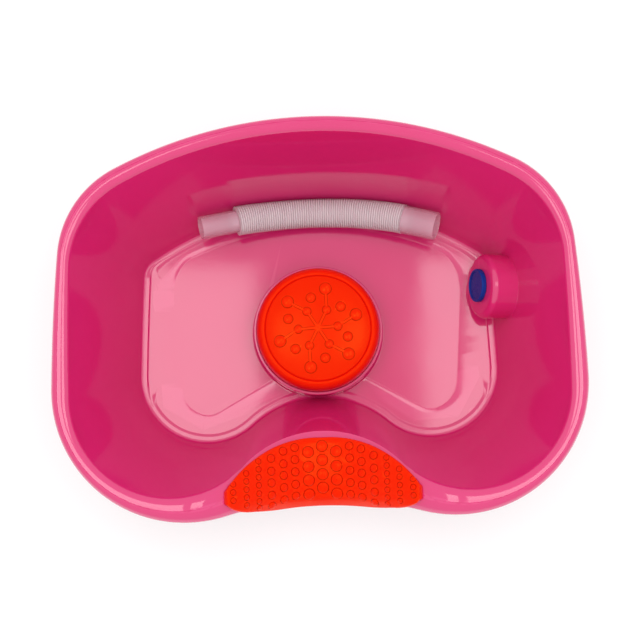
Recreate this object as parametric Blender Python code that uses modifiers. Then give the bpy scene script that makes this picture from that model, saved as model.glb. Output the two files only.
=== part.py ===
"""Portable shampoo basin: a moulded shell with a neck saddle, a head rest pedestal and a
drain spout in its side wall, with its two rubber pads, its drain plug and its loose
corrugated drain hose. Metres, +Z up, the neck saddle towards -Y."""

import math

import bmesh
import bpy
from mathutils import Matrix, Vector

# Shell: overall sizes
BASIN_LENGTH = 0.479
BASIN_WIDTH = 0.362
BASIN_HEIGHT = 0.150
WALL = 0.0025
SIDE_DRAFT = math.radians(20.4)
BACK_DRAFT = math.radians(18.4)
FRONT_DRAFT = math.radians(21.0)

# Shell: rim, with its skirt turned down outside
RIM_SIDE_WIDTH = 0.017
RIM_BACK_WIDTH = 0.0151
RIM_FRONT_WIDTH = 0.0228
RIM_SKIRT_DEPTH = 0.025
SADDLE_DROP = 0.044
SADDLE_HALF_WIDTH = 0.126

# Shell: floor, with a horseshoe pan sunk round the pedestal
FLOOR_FILLET = 0.006
PAN_DEPTH = 0.004
PAN_LEDGE = 0.008
PAN_STEP_RUN = 0.0010
PAN_LOBE_RADIUS = 0.058
PAN_FRONT_LEDGE = 0.023
PAN_CORNER_RADIUS = 0.005
PAN_BRIDGE_TURN = math.radians(33.0)

# Shell: pedestal of the head rest
PEDESTAL_CENTRE_Y = -0.003
PEDESTAL_RADIUS = 0.061
PEDESTAL_TOP = 0.036
PEDESTAL_FLARE = 0.001
PEDESTAL_EDGE = 0.0010
PAD_NEST_DEPTH = 0.003

# Shell: drain boss, square to the side wall, with a spout inside its recess
BOSS_RADIUS = 0.030
BOSS_FILLET = 0.005
BOSS_AXIS_Y = 0.0345
BOSS_AXIS_HEIGHT = 0.032
BOSS_LENGTH = 0.0304
SPOUT_RADIUS = 0.012
SPOUT_BORE_RADIUS = 0.010
SPOUT_LENGTH = 0.026

# One running gap between pieces that touch
CLEARANCE = 0.0003

# Head rest pad: three rings of bumps, each ring's radius, first angle and bump radius
HEAD_PAD_RADIUS = 0.058
HEAD_PAD_HEIGHT = 0.0285
HEAD_PAD_CROWN = 0.007
HEAD_BUMPS_IN_RING = 6
HEAD_SMALL_BUMPS = (0.0185, math.radians(2.8), 0.0038)
HEAD_MEDIUM_BUMPS = (0.0290, math.radians(41.8), 0.0043)
HEAD_LARGE_BUMPS = (0.0375, math.radians(17.8), 0.0054)
HEAD_RIB_WIDTH = 0.0022
HEAD_RIB_HEIGHT = 0.0006

# Neck pad: columns of bumps, each kind's radius and pitch along its column
NECK_PAD_HALF_LENGTH = 0.088
NECK_PAD_THICKNESS = 0.0055
NECK_COLUMN_PITCH = 0.0118
NECK_LARGE_BUMPS = (0.0053, 0.0130)
NECK_MEDIUM_BUMPS = (0.0036, 0.0112)
NECK_SMALL_BUMPS = (0.0026, 0.0070)
NECK_COLUMN_KINDS = (NECK_LARGE_BUMPS,) * 2 + (NECK_MEDIUM_BUMPS,) * 3 + (NECK_SMALL_BUMPS,) * 3
BUMP_SINK = 0.0012

# Drain plug
PLUG_FLANGE_RADIUS = 0.016
PLUG_FLANGE_THICKNESS = 0.0028
PLUG_STEM_LENGTH = 0.012
PLUG_STEM_TAPER = 0.0008
PLUG_DISH_DEPTH = 0.0010
PLUG_LIP = 0.0025

# Drain hose, lying against the back wall. The route leads from the small cuff's end to the
# large cuff's end: its distance from the middle, off the wall and over the floor's ledge
HOSE_RADIUS = 0.0142
HOSE_ROOT_RADIUS = 0.0126
HOSE_BORE_RADIUS = 0.0108
HOSE_RIB_PITCH = 0.0022
SMALL_CUFF_RADIUS = 0.0110
SMALL_CUFF_LENGTH = 0.036
LARGE_CUFF_RADIUS = 0.0135
LARGE_CUFF_LENGTH = 0.033
CUFF_WALL = 0.0017
HOSE_ROUTE = (
    (-0.1080, 0.0000, 0.0238),
    (-0.0720, 0.0000, 0.0140),
    (-0.0450, 0.0000, 0.0085),
    (-0.0150, 0.0000, 0.0055),
    (0.0150, 0.0000, 0.0055),
    (0.0450, 0.0000, 0.0085),
    (0.0820, 0.0005, 0.0155),
    (0.1140, 0.0040, 0.0250),
)

# One overrun for every cut, and the distance within which points are merged
OVERRUN = 0.004
MERGE_DISTANCE = 0.00001

# Steps round each turned solid and each small round, and the sides of a bump
PEDESTAL_STEPS = 56
BOSS_STEPS = 40
ROUND_STEPS = 3
HEAD_PAD_STEPS = 44
PLUG_STEPS = 32
CUFF_STEPS = 24
BUMP_SIDES = 7
SHARP_ANGLE = math.radians(35)

# Outlines in plan, from the back middle round to the front middle: each arc's radius as a
# share of the basin's length, and its turn in degrees. A hollow arc closes each one.
RIM_OUTER_SHARES = ((0.837, 26.8), (0.198, 57.9), (3.653, 4.0), (0.248, 107.8))
RIM_INNER_SHARES = ((0.785, 27.5), (0.182, 60.1), (4.998, 2.8), (0.186, 135.5))
FLOOR_SHARES = ((0.585, 33.9), (0.044, 52.3), (6.286, 1.8), (0.134, 133.7))
ARC_STEPS = (5, 7, 2, 11, 5)

# Rim section from the skirt's foot to the inner edge: across the rim, and down from its crest
RIM_SECTION_SHARES = (
    (0.00, 1.00),
    (0.00, 0.42),
    (0.03, 0.24),
    (0.12, 0.09),
    (0.28, 0.01),
    (0.45, 0.00),
    (0.64, 0.01),
    (0.86, 0.06),
    (1.00, 0.16),
)
WALL_ROW_SHARES = (0.04, 0.35, 0.68)
FILLET_ROW_SHARES = (0.0, 0.33, 0.67, 1.0)

# Head pad section: share of its radius, then of its crown above the shoulder or of its side
HEAD_CROWN_SHARES = (
    (0.00, 1.00),
    (0.32, 0.95),
    (0.62, 0.78),
    (0.86, 0.46),
    (0.88, 0.34),
    (0.905, 0.38),
    (0.955, 0.12),
)
HEAD_SIDE_SHARES = ((0.985, 0.86), (1.00, 0.60), (1.00, 0.10), (0.985, 0.00))

# Neck pad: the rows of the rim's section where it starts and stops, in its middle and at its
# ends, the steps of a half length, how square its ends are, and a bump's height and top
NECK_PAD_FRONT_ROWS_SHARES = (1.0, 2.6)
NECK_PAD_BACK_ROWS_SHARES = (7.2, 4.4)
NECK_PAD_STEPS = 11
NECK_PAD_END_POWER = 5
BUMP_HEIGHT_SHARE = 0.30
BUMP_TOP_SHARE = 0.60

FLOOR_TOP = WALL + PAN_DEPTH
RIM_EDGE_HEIGHT = BASIN_HEIGHT - RIM_SKIRT_DEPTH * RIM_SECTION_SHARES[-1][1]
PAD_NEST_RADIUS = HEAD_PAD_RADIUS + CLEARANCE

basin = bpy.data.collections.new("portable_shampoo_basin")
cutters = bpy.data.collections.new("cutters")


# Scene and materials
def clear_scene():
    for obj in list(bpy.data.objects):
        bpy.data.objects.remove(obj, do_unlink=True)
    bpy.context.scene.collection.children.link(basin)
    bpy.context.scene.collection.children.link(cutters)


def material(name, colour, roughness):
    made = bpy.data.materials.new(name)
    made.use_nodes = True
    shader = made.node_tree.nodes["Principled BSDF"]
    shader.inputs["Base Color"].default_value = (*colour, 1.0)
    shader.inputs["Roughness"].default_value = roughness
    shader.inputs["Metallic"].default_value = 0.0
    return made


# Objects
def add_object(name, bm, collection):
    mesh = bpy.data.meshes.new(name)
    bmesh.ops.recalc_face_normals(bm, faces=bm.faces)
    bm.to_mesh(mesh)
    bm.free()
    obj = bpy.data.objects.new(name, mesh)
    collection.objects.link(obj)
    if collection is cutters:
        obj.hide_render = True
        obj.display_type = "WIRE"
    return obj


def finish(obj, look):
    obj.data.materials.append(look)
    obj.data.shade_smooth()
    obj.data.set_sharp_from_angle(angle=SHARP_ANGLE)


def combine(obj, other, operation):
    modifier = obj.modifiers.new(other.name, "BOOLEAN")
    modifier.object = other
    modifier.operation = operation


def turned(name, profile, steps, collection):
    """A solid of revolution from (radius, height) points, down its outer side from the axis
    to the axis, or round a ring's section where it starts off the axis."""
    bm = bmesh.new()
    points = [bm.verts.new((radius, 0, height)) for radius, height in profile]
    for first, second in zip(points, points[1:]):
        bm.edges.new((first, second))
    if profile[0][0] > 0:
        bm.edges.new((points[-1], points[0]))
    mesh = bpy.data.meshes.new(name)
    bm.to_mesh(mesh)
    bm.free()
    obj = bpy.data.objects.new(name, mesh)
    collection.objects.link(obj)
    screw = obj.modifiers.new("turn", "SCREW")
    screw.steps = steps
    screw.render_steps = steps
    screw.use_merge_vertices = True
    screw.merge_threshold = MERGE_DISTANCE
    if collection is cutters:
        obj.hide_render = True
        obj.display_type = "WIRE"
    return obj


def rounded(radius, height, fillet):
    """Profile points round the outer top edge of a turned solid."""
    points = []
    for step in range(ROUND_STEPS + 1):
        angle = math.pi / 2 * step / ROUND_STEPS
        across = radius - fillet * (1 - math.sin(angle))
        points.append((across, height - fillet * (1 - math.cos(angle))))
    return points


def loft(rings, closed_start, closed_end):
    """Faces between rings with equally many points, with flat ends where asked."""
    bm = bmesh.new()
    rows = [[bm.verts.new(point) for point in ring] for ring in rings]
    for lower, upper in zip(rows, rows[1:]):
        for index in range(len(lower)):
            following = (index + 1) % len(lower)
            bm.faces.new((lower[index], lower[following], upper[following], upper[index]))
    if closed_start:
        bm.faces.new(rows[0])
    if closed_end:
        bm.faces.new(rows[-1])
    return bm


# Plan outlines
def follow_arcs(start, heading, arcs, steps):
    """Points along arcs of (radius, turn), clockwise where the turn is positive."""
    x, y = start
    points = [start]
    for (radius, turn), count in zip(arcs, steps):
        signed = math.copysign(radius, turn)
        for step in range(1, count + 1):
            angle = heading + turn * step / count
            points.append(
                (
                    x + signed * (math.sin(angle) - math.sin(heading)),
                    y + signed * (math.cos(angle) - math.cos(heading)),
                )
            )
        heading += turn
        x, y = points[-1]
    return points


def half_outline(shares):
    """The right half, back to front: convex arcs, then a hollow one that ends in the middle."""
    arcs = [(share * BASIN_LENGTH, math.radians(turn)) for share, turn in shares]
    convex = follow_arcs((0, 0), 0, arcs, ARC_STEPS[:-1])
    over_turn = sum(turn for _, turn in arcs) - math.pi
    notch_radius = convex[-1][0] / math.sin(over_turn)
    notch = follow_arcs(convex[-1], math.pi + over_turn, [(notch_radius, -over_turn)], ARC_STEPS[-1:])
    return convex + notch[1:-1] + [(0, notch[-1][1])]


def fitted(points, half_length, back, front):
    """The half outline stretched to its named box."""
    widest = max(x for x, _ in points)
    highest = points[0][1]
    lowest = min(y for _, y in points)
    scale = (back - front) / (highest - lowest)
    return [(x * half_length / widest, front + (y - lowest) * scale) for x, y in points]


def both_halves(half):
    return half + [(-x, y) for x, y in reversed(half[1:-1])]


def inset(ring, distance):
    """A closed clockwise ring moved inwards by one distance."""
    moved = []
    count = len(ring)
    for index, (x, y) in enumerate(ring):
        before = ring[index - 1]
        after = ring[(index + 1) % count]
        along = Vector((after[0] - before[0], after[1] - before[1])).normalized()
        moved.append((x + along.y * distance, y - along.x * distance))
    return moved


def rim_outlines():
    """Outer edge, inner edge and floor corner of the shell, as closed rings in plan."""
    half_length = BASIN_LENGTH / 2
    half_width = BASIN_WIDTH / 2
    depth = RIM_EDGE_HEIGHT - FLOOR_TOP
    outer = fitted(half_outline(RIM_OUTER_SHARES), half_length, half_width, -half_width)
    inner_length = half_length - RIM_SIDE_WIDTH
    inner_back = half_width - RIM_BACK_WIDTH
    inner_front = RIM_FRONT_WIDTH - half_width
    inner = fitted(half_outline(RIM_INNER_SHARES), inner_length, inner_back, inner_front)
    floor = fitted(
        half_outline(FLOOR_SHARES),
        inner_length - depth * math.tan(SIDE_DRAFT),
        inner_back - depth * math.tan(BACK_DRAFT),
        inner_front + depth * math.tan(FRONT_DRAFT),
    )
    return both_halves(outer), both_halves(inner), both_halves(floor)


RIM_OUTER, RIM_INNER, FLOOR_CORNER = rim_outlines()


def crest_height(x, y):
    """Height of the rim's crest, which dips to the saddle at the front middle."""
    if y > 0 or abs(x) >= SADDLE_HALF_WIDTH:
        return BASIN_HEIGHT
    return BASIN_HEIGHT - SADDLE_DROP * (1 + math.cos(math.pi * x / SADDLE_HALF_WIDTH)) / 2


def between(first, second, share):
    return first + (second - first) * share


# Basin shell
def rim_point(outer, inner, across, down):
    x = between(outer[0], inner[0], across)
    y = between(outer[1], inner[1], across)
    return Vector((x, y, crest_height(x, y) - down * RIM_SKIRT_DEPTH))


def shell_rings(outset):
    """Rings of the moulded face, from the inner rim edge down the wall to the floor."""
    inner = inset(RIM_INNER, -outset)
    corner = inset(FLOOR_CORNER, -outset)
    edge_down = RIM_SECTION_SHARES[-1][1]
    tops = [rim_point(point, point, 1, edge_down) for point in inner]
    corners = [Vector((x, y, FLOOR_TOP - outset)) for x, y in corner]
    feet = [Vector((x, y, FLOOR_TOP - outset)) for x, y in inset(corner, FLOOR_FILLET)]
    starts = [low + (top - low).normalized() * FLOOR_FILLET for top, low in zip(tops, corners)]
    rings = [tops]
    for share in WALL_ROW_SHARES:
        rings.append([top.lerp(start, share) for top, start in zip(tops, starts)])
    for share in FILLET_ROW_SHARES:
        rings.append(
            [
                start.lerp(low, share).lerp(low.lerp(foot, share), share)
                for start, low, foot in zip(starts, corners, feet)
            ]
        )
    return rings


def make_shell():
    rings = []
    for across, down in RIM_SECTION_SHARES[:-1]:
        rings.append([rim_point(o, i, across, down) for o, i in zip(RIM_OUTER, RIM_INNER)])
    rings.extend(shell_rings(0))
    bm = loft(rings, False, True)
    obj = add_object("basin_shell", bm, basin)
    if obj.data.polygons[-1].normal.z < 0:
        obj.data.flip_normals()
    solidify = obj.modifiers.new("wall", "SOLIDIFY")
    solidify.thickness = WALL
    solidify.offset = -1
    solidify.use_even_offset = True
    return obj


def pan_outline(outset):
    """The sunken horseshoe in plan: round the floor, the two front lobes and the pedestal."""
    floor_half = inset(FLOOR_CORNER, PAN_LEDGE - outset)
    side_steps = sum(ARC_STEPS[:2])
    lobe_centre = (
        max(x for x, _ in FLOOR_CORNER) - PAN_LEDGE - PAN_LOBE_RADIUS,
        min(y for _, y in FLOOR_CORNER) + PAN_FRONT_LEDGE + PAN_LOBE_RADIUS,
    )
    lobe = PAN_LOBE_RADIUS + outset
    right = [point for point in floor_half[: side_steps + 1] if point[1] > lobe_centre[1]]
    lobe_steps = 10
    lobe_turn = math.pi / 2 + PAN_BRIDGE_TURN
    for step in range(lobe_steps + 1):
        heading = math.pi / 2 + lobe_turn * step / lobe_steps
        right.append(
            (lobe_centre[0] + lobe * math.sin(heading), lobe_centre[1] + lobe * math.cos(heading))
        )
    right.extend(pan_corner(right[-1], outset))
    return both_halves(right)


def pan_corner(lobe_end, outset):
    """From the end of a lobe straight to the pedestal, round a small corner and back round it."""
    around = PEDESTAL_RADIUS + PEDESTAL_FLARE + PAN_STEP_RUN - outset
    corner = PAN_CORNER_RADIUS + outset
    run = Vector((-math.cos(PAN_BRIDGE_TURN), math.sin(PAN_BRIDGE_TURN)))
    side = Vector((math.sin(PAN_BRIDGE_TURN), math.cos(PAN_BRIDGE_TURN)))
    start = Vector(lobe_end) + side * corner - Vector((0, PEDESTAL_CENTRE_Y))
    reach = around + corner
    along = start.dot(run)
    travel = -along - math.sqrt(along * along - start.length_squared + reach * reach)
    centre = start + run * travel
    arc_from = math.atan2(-side.y, -side.x)
    arc_to = math.atan2(-centre.y, -centre.x) - 2 * math.pi
    points = []
    corner_steps = 4
    for step in range(corner_steps + 1):
        angle = between(arc_from, arc_to, step / corner_steps)
        points.append(centre + Vector((math.cos(angle), math.sin(angle))) * corner)
    ring_from = math.atan2(centre.y, centre.x)
    ring_steps = 14
    for step in range(1, ring_steps + 1):
        angle = between(ring_from, math.pi / 2, step / ring_steps)
        points.append(Vector((math.cos(angle), math.sin(angle))) * around)
    return [(point.x, point.y + PEDESTAL_CENTRE_Y) for point in points[:-1]] + [
        (0, around + PEDESTAL_CENTRE_Y)
    ]


def pan_solid(name, low_outset, low, high_outset, high):
    rings = [
        [(x, y, low) for x, y in pan_outline(low_outset)],
        [(x, y, high) for x, y in pan_outline(high_outset)],
    ]
    return add_object(name, loft(rings, True, True), cutters)


def add_pan(shell):
    step_slope = PAN_STEP_RUN / PAN_DEPTH
    top = FLOOR_TOP - WALL / 2
    block = pan_solid("pan_block", WALL / 2, 0, WALL / 2 + top * step_slope, top)
    combine(shell, block, "UNION")
    high = FLOOR_TOP + OVERRUN
    return pan_solid("pan_cut", -PAN_STEP_RUN, WALL, OVERRUN * step_slope, high)


def add_pedestal(shell):
    """The head rest's pedestal, a turned cup with a shallow nest for the pad on top."""
    foot = FLOOR_TOP - WALL / 2
    body = turned(
        "pedestal",
        [
            (0, PEDESTAL_TOP - PAD_NEST_DEPTH),
            (PAD_NEST_RADIUS, PEDESTAL_TOP - PAD_NEST_DEPTH),
            (PAD_NEST_RADIUS, PEDESTAL_TOP - PEDESTAL_EDGE / 2),
            (PAD_NEST_RADIUS + PEDESTAL_EDGE / 2, PEDESTAL_TOP),
            (PEDESTAL_RADIUS - PEDESTAL_EDGE, PEDESTAL_TOP),
            (PEDESTAL_RADIUS, PEDESTAL_TOP - PEDESTAL_EDGE),
            (PEDESTAL_RADIUS, FLOOR_TOP + PEDESTAL_FLARE),
            (PEDESTAL_RADIUS + PEDESTAL_FLARE, FLOOR_TOP),
            (PEDESTAL_RADIUS + PEDESTAL_FLARE, foot),
            (0, foot),
        ],
        PEDESTAL_STEPS,
        cutters,
    )
    body.location.y = PEDESTAL_CENTRE_Y
    combine(shell, body, "UNION")


def pedestal_hollow():
    radius = PEDESTAL_RADIUS - WALL
    roof = PEDESTAL_TOP - PAD_NEST_DEPTH - WALL
    hollow = turned(
        "pedestal_hollow",
        [(0, roof), (radius - WALL, roof), (radius, roof - WALL), (radius, -OVERRUN), (0, -OVERRUN)],
        PEDESTAL_STEPS,
        cutters,
    )
    hollow.location.y = PEDESTAL_CENTRE_Y
    return hollow


# Drain boss and spout
def drain_frame():
    """The boss's axis, square to the side wall: local +Z leads out of the wall into the bowl."""
    tilt = Matrix.Rotation(SIDE_DRAFT - math.pi / 2, 4, "Y")
    wall_x = max(x for x, _ in FLOOR_CORNER) + (BOSS_AXIS_HEIGHT - FLOOR_TOP) * math.tan(SIDE_DRAFT)
    return Matrix.Translation((wall_x, BOSS_AXIS_Y, BOSS_AXIS_HEIGHT)) @ tilt


def add_boss(shell):
    """The boss, ended inside the wall's thickness by the wall's own form."""
    edge = rounded(BOSS_RADIUS, BOSS_LENGTH, BOSS_FILLET)
    foot = [(BOSS_RADIUS, -BOSS_RADIUS), (0, -BOSS_RADIUS)]
    boss = turned("drain_boss", [(0, BOSS_LENGTH)] + edge + foot, BOSS_STEPS, cutters)
    boss.matrix_world = drain_frame()
    bowl = add_object("bowl_envelope", loft(shell_rings(WALL / 2), True, True), cutters)
    combine(boss, bowl, "INTERSECT")
    combine(shell, boss, "UNION")


def drain_cut():
    """The recess behind the boss, with the spout left standing in it, and the spout's bore."""
    recess = BOSS_RADIUS - WALL
    face = BOSS_LENGTH - WALL
    cut = turned(
        "drain_cut",
        [
            (0, BOSS_LENGTH + OVERRUN),
            (SPOUT_BORE_RADIUS, BOSS_LENGTH + OVERRUN),
            (SPOUT_BORE_RADIUS, BOSS_LENGTH - SPOUT_LENGTH),
            (SPOUT_RADIUS, BOSS_LENGTH - SPOUT_LENGTH),
            (SPOUT_RADIUS, face),
            (recess - WALL, face),
            (recess, face - WALL),
            (recess, -BOSS_RADIUS),
            (0, -BOSS_RADIUS),
        ],
        BOSS_STEPS,
        cutters,
    )
    cut.matrix_world = drain_frame()
    return cut


def make_basin_shell(look):
    shell = make_shell()
    pan_cut = add_pan(shell)
    add_pedestal(shell)
    add_boss(shell)
    for cutter in (pan_cut, pedestal_hollow(), drain_cut()):
        combine(shell, cutter, "DIFFERENCE")
    finish(shell, look)


# Head rest pad
def crown_height(radius):
    """Height of the head pad's crown above its shoulder, at a distance from its middle."""
    share = radius / HEAD_PAD_RADIUS
    for (inner, high), (outer, low) in zip(HEAD_CROWN_SHARES, HEAD_CROWN_SHARES[1:]):
        if share <= outer:
            return between(high, low, (share - inner) / (outer - inner)) * HEAD_PAD_CROWN
    return 0


def head_pad_point(radius, angle):
    height = HEAD_PAD_HEIGHT - HEAD_PAD_CROWN + crown_height(radius)
    return Vector((radius * math.cos(angle), radius * math.sin(angle), height))


def add_bump(bm, foot, normal, radius):
    """A low dome, standing on a surface and sunk a little into it."""
    height = radius * BUMP_HEIGHT_SHARE
    turn = Vector((0, 0, 1)).rotation_difference(normal).to_matrix().to_4x4()
    lift = Matrix.Translation((0, 0, (height - BUMP_SINK) / 2))
    bmesh.ops.create_cone(
        bm,
        cap_ends=True,
        segments=BUMP_SIDES,
        radius1=radius,
        radius2=radius * BUMP_TOP_SHARE,
        depth=height + BUMP_SINK,
        matrix=Matrix.Translation(foot) @ turn @ lift,
    )


def add_rib(bm, start, end):
    """A narrow raised rib from one point of the crown to another."""
    along = end - start
    side = Vector((0, 0, 1)).cross(along).normalized()
    turn = Matrix((along.normalized(), side, along.normalized().cross(side))).transposed().to_4x4()
    depth = HEAD_RIB_HEIGHT + BUMP_SINK
    size = Matrix.Diagonal((along.length, HEAD_RIB_WIDTH, depth, 1))
    middle = (start + end) / 2 + Vector((0, 0, HEAD_RIB_HEIGHT - depth / 2))
    bmesh.ops.create_cube(bm, size=1, matrix=Matrix.Translation(middle) @ turn @ size)


def head_pad_relief():
    bm = bmesh.new()
    for ring_radius, first, radius in (HEAD_SMALL_BUMPS, HEAD_MEDIUM_BUMPS, HEAD_LARGE_BUMPS):
        for index in range(HEAD_BUMPS_IN_RING):
            angle = first + 2 * math.pi * index / HEAD_BUMPS_IN_RING
            add_bump(bm, head_pad_point(ring_radius, angle), Vector((0, 0, 1)), radius)
    for index in range(HEAD_BUMPS_IN_RING):
        turn = 2 * math.pi * index / HEAD_BUMPS_IN_RING
        small = head_pad_point(HEAD_SMALL_BUMPS[0], HEAD_SMALL_BUMPS[1] + turn)
        large = head_pad_point(HEAD_LARGE_BUMPS[0], HEAD_LARGE_BUMPS[1] + turn)
        add_rib(bm, head_pad_point(HEAD_RIB_WIDTH / 2, HEAD_SMALL_BUMPS[1] + turn), small)
        add_rib(bm, small, large)
    return add_object("head_pad_relief", bm, cutters)


def make_head_pad(look):
    shoulder = HEAD_PAD_HEIGHT - HEAD_PAD_CROWN
    crown = [(share * HEAD_PAD_RADIUS, shoulder + up * HEAD_PAD_CROWN) for share, up in HEAD_CROWN_SHARES]
    side = [(share * HEAD_PAD_RADIUS, up * shoulder) for share, up in HEAD_SIDE_SHARES]
    pad = turned("head_pad", crown + side + [(0, 0)], HEAD_PAD_STEPS, basin)
    relief = head_pad_relief()
    pad.location = (0, PEDESTAL_CENTRE_Y, PEDESTAL_TOP - PAD_NEST_DEPTH + CLEARANCE)
    relief.location = pad.location
    combine(pad, relief, "UNION")
    pad.modifiers[-1].use_self = True
    finish(pad, look)


# Neck pad
def rim_rows():
    """The shell's own rim rings, one for each row of its section."""
    return [
        [rim_point(outer, inner, across, down) for outer, inner in zip(RIM_OUTER, RIM_INNER)]
        for across, down in RIM_SECTION_SHARES
    ]


def front_point(ring, x):
    """The point of a rim ring above a given X, on the front side between the two lobes."""
    half = sum(ARC_STEPS)
    lobe = min(range(half), key=lambda index: ring[index].y)
    for first, second in zip(ring[lobe:half], ring[lobe + 1 : half + 1]):
        if second.x <= abs(x) <= first.x:
            point = first.lerp(second, (first.x - abs(x)) / (first.x - second.x))
            return Vector((math.copysign(point.x, x), point.y, point.z))
    return ring[lobe].copy()


def section_point(rows, x, row):
    """The point of the rim's section at a given X, a fractional row up from its foot."""
    low = min(int(row), len(rows) - 2)
    return front_point(rows[low], x).lerp(front_point(rows[low + 1], x), row - low)


def neck_pad_limits(share):
    """The rows where the pad starts and stops, at a share of its half length."""
    closing = 1 - math.sqrt(max(0, 1 - abs(share) ** NECK_PAD_END_POWER))
    return between(*NECK_PAD_FRONT_ROWS_SHARES, closing), between(*NECK_PAD_BACK_ROWS_SHARES, closing)


def neck_pad_sheet(rows):
    """The pad's underside: the rim's own form between the pad's limits."""
    bm = bmesh.new()
    grid = []
    for step in range(-NECK_PAD_STEPS, NECK_PAD_STEPS + 1):
        share = math.sin(math.pi / 2 * step / NECK_PAD_STEPS)
        front, back = neck_pad_limits(share)
        inner_rows = range(2, len(rows) - 1)
        stops = [front] + [min(max(row, front), back) for row in inner_rows] + [back]
        x = share * NECK_PAD_HALF_LENGTH
        grid.append([bm.verts.new(section_point(rows, x, row)) for row in stops])
    for left, right in zip(grid, grid[1:]):
        for index in range(len(left) - 1):
            bm.faces.new((left[index], right[index], right[index + 1], left[index + 1]))
    bmesh.ops.remove_doubles(bm, verts=bm.verts, dist=CLEARANCE)
    bm.normal_update()
    for vert in bm.verts:
        vert.co += vert.normal * CLEARANCE
    return bm


def neck_pad_surface(rows, x, row):
    """A point on the pad's outer surface, and the way that surface faces there."""
    step = NECK_COLUMN_PITCH / len(rows)
    point = section_point(rows, x, row)
    along = section_point(rows, x + step, row) - section_point(rows, x - step, row)
    up = section_point(rows, x, row + 0.5) - section_point(rows, x, row - 0.5)
    normal = along.cross(up).normalized()
    return point + normal * (CLEARANCE + NECK_PAD_THICKNESS), normal


def neck_pad_relief(rows):
    """Bumps in columns, each column spaced along the pad's section from its back edge."""
    bm = bmesh.new()
    last = len(NECK_COLUMN_KINDS) - 1
    for column in range(-last, last + 1):
        radius, pitch = NECK_COLUMN_KINDS[abs(column)]
        x = column * NECK_COLUMN_PITCH
        front, back = neck_pad_limits(x / NECK_PAD_HALF_LENGTH)
        walk_steps = 60
        walked = 0
        wanted = radius + pitch / 4
        before, _ = neck_pad_surface(rows, x, back)
        stop_row = front + (back - front) * radius / (radius + pitch) / 4
        for step in range(1, walk_steps + 1):
            here, normal = neck_pad_surface(rows, x, between(back, stop_row, step / walk_steps))
            walked += (here - before).length
            before = here
            if walked >= wanted:
                add_bump(bm, here, normal, radius)
                wanted += pitch
    return add_object("neck_pad_relief", bm, cutters)


def make_neck_pad(look):
    rows = rim_rows()
    pad = add_object("neck_pad", neck_pad_sheet(rows), basin)
    crest_row = min(range(len(rows)), key=lambda row: RIM_SECTION_SHARES[row][1])
    origin = section_point(rows, 0, crest_row)
    pad.data.transform(Matrix.Translation(-origin))
    pad.location = origin
    solidify = pad.modifiers.new("thickness", "SOLIDIFY")
    solidify.thickness = NECK_PAD_THICKNESS
    solidify.offset = 1
    combine(pad, neck_pad_relief(rows), "UNION")
    finish(pad, look)


# Drain plug
def make_drain_plug(look):
    face = BOSS_LENGTH + CLEARANCE
    top = face + PLUG_FLANGE_THICKNESS
    stem = SPOUT_BORE_RADIUS - CLEARANCE
    tip = face - PLUG_STEM_LENGTH
    plug = turned(
        "drain_plug",
        [
            (0, top - PLUG_DISH_DEPTH),
            (PLUG_FLANGE_RADIUS - PLUG_LIP, top - PLUG_DISH_DEPTH),
            (PLUG_FLANGE_RADIUS - PLUG_LIP, top),
            (PLUG_FLANGE_RADIUS - PLUG_DISH_DEPTH / 2, top),
            (PLUG_FLANGE_RADIUS, top - PLUG_DISH_DEPTH / 2),
            (PLUG_FLANGE_RADIUS, face),
            (stem, face),
            (stem - PLUG_STEM_TAPER, tip),
            (0, tip),
        ],
        PLUG_STEPS,
        basin,
    )
    plug.matrix_world = drain_frame()
    finish(plug, look)


# Drain hose
def beside_back_wall(x, gap, lift):
    """The place on the hose's axis where its side lies one gap off the bowl's back wall."""
    z = FLOOR_TOP + HOSE_RADIUS + lift
    rise = (z - FLOOR_TOP) / (RIM_EDGE_HEIGHT - FLOOR_TOP)
    wall = [
        (between(low[0], top[0], rise), between(low[1], top[1], rise))
        for low, top in zip(FLOOR_CORNER, RIM_INNER)
    ]
    beside = inset(wall, (HOSE_RADIUS + gap) / math.cos(BACK_DRAFT))
    for first, second in zip(beside, beside[1:]):
        if first[0] <= abs(x) <= second[0]:
            share = (abs(x) - first[0]) / (second[0] - first[0])
            return Vector((x, between(first[1], second[1], share), z))
    return Vector((x, beside[0][1], z))


def route_point(route, position):
    """A point on the smooth curve through the route's points."""
    last = len(route) - 1
    index = min(int(position), last - 1)
    share = position - index
    first, second = route[index], route[index + 1]
    before = route[index - 1] if index > 0 else first * 2 - second
    after = route[index + 2] if index + 2 <= last else second * 2 - first
    leave = (second - before) / 2
    arrive = (after - first) / 2
    return (
        first * (2 * share**3 - 3 * share**2 + 1)
        + leave * (share**3 - 2 * share**2 + share)
        + second * (3 * share**2 - 2 * share**3)
        + arrive * (share**3 - share**2)
    )


def hose_axis(spacing):
    """Evenly spaced points along the ribbed length, between the two straight cuffs."""
    route = [beside_back_wall(x, gap, lift) for x, gap, lift in HOSE_ROUTE]
    fine = 40
    curve = [route_point(route, step / fine) for step in range((len(route) - 1) * fine + 1)]
    reach = [0]
    for first, second in zip(curve, curve[1:]):
        reach.append(reach[-1] + (second - first).length)
    start = SMALL_CUFF_LENGTH + CLEARANCE
    end = reach[-1] - LARGE_CUFF_LENGTH - CLEARANCE
    count = 2 * round((end - start) / spacing / 2)
    points = []
    index = 0
    for step in range(count + 1):
        wanted = between(start, end, step / count)
        while reach[index + 1] < wanted:
            index += 1
        share = (wanted - reach[index]) / (reach[index + 1] - reach[index])
        points.append(curve[index].lerp(curve[index + 1], share))
    return points


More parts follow.
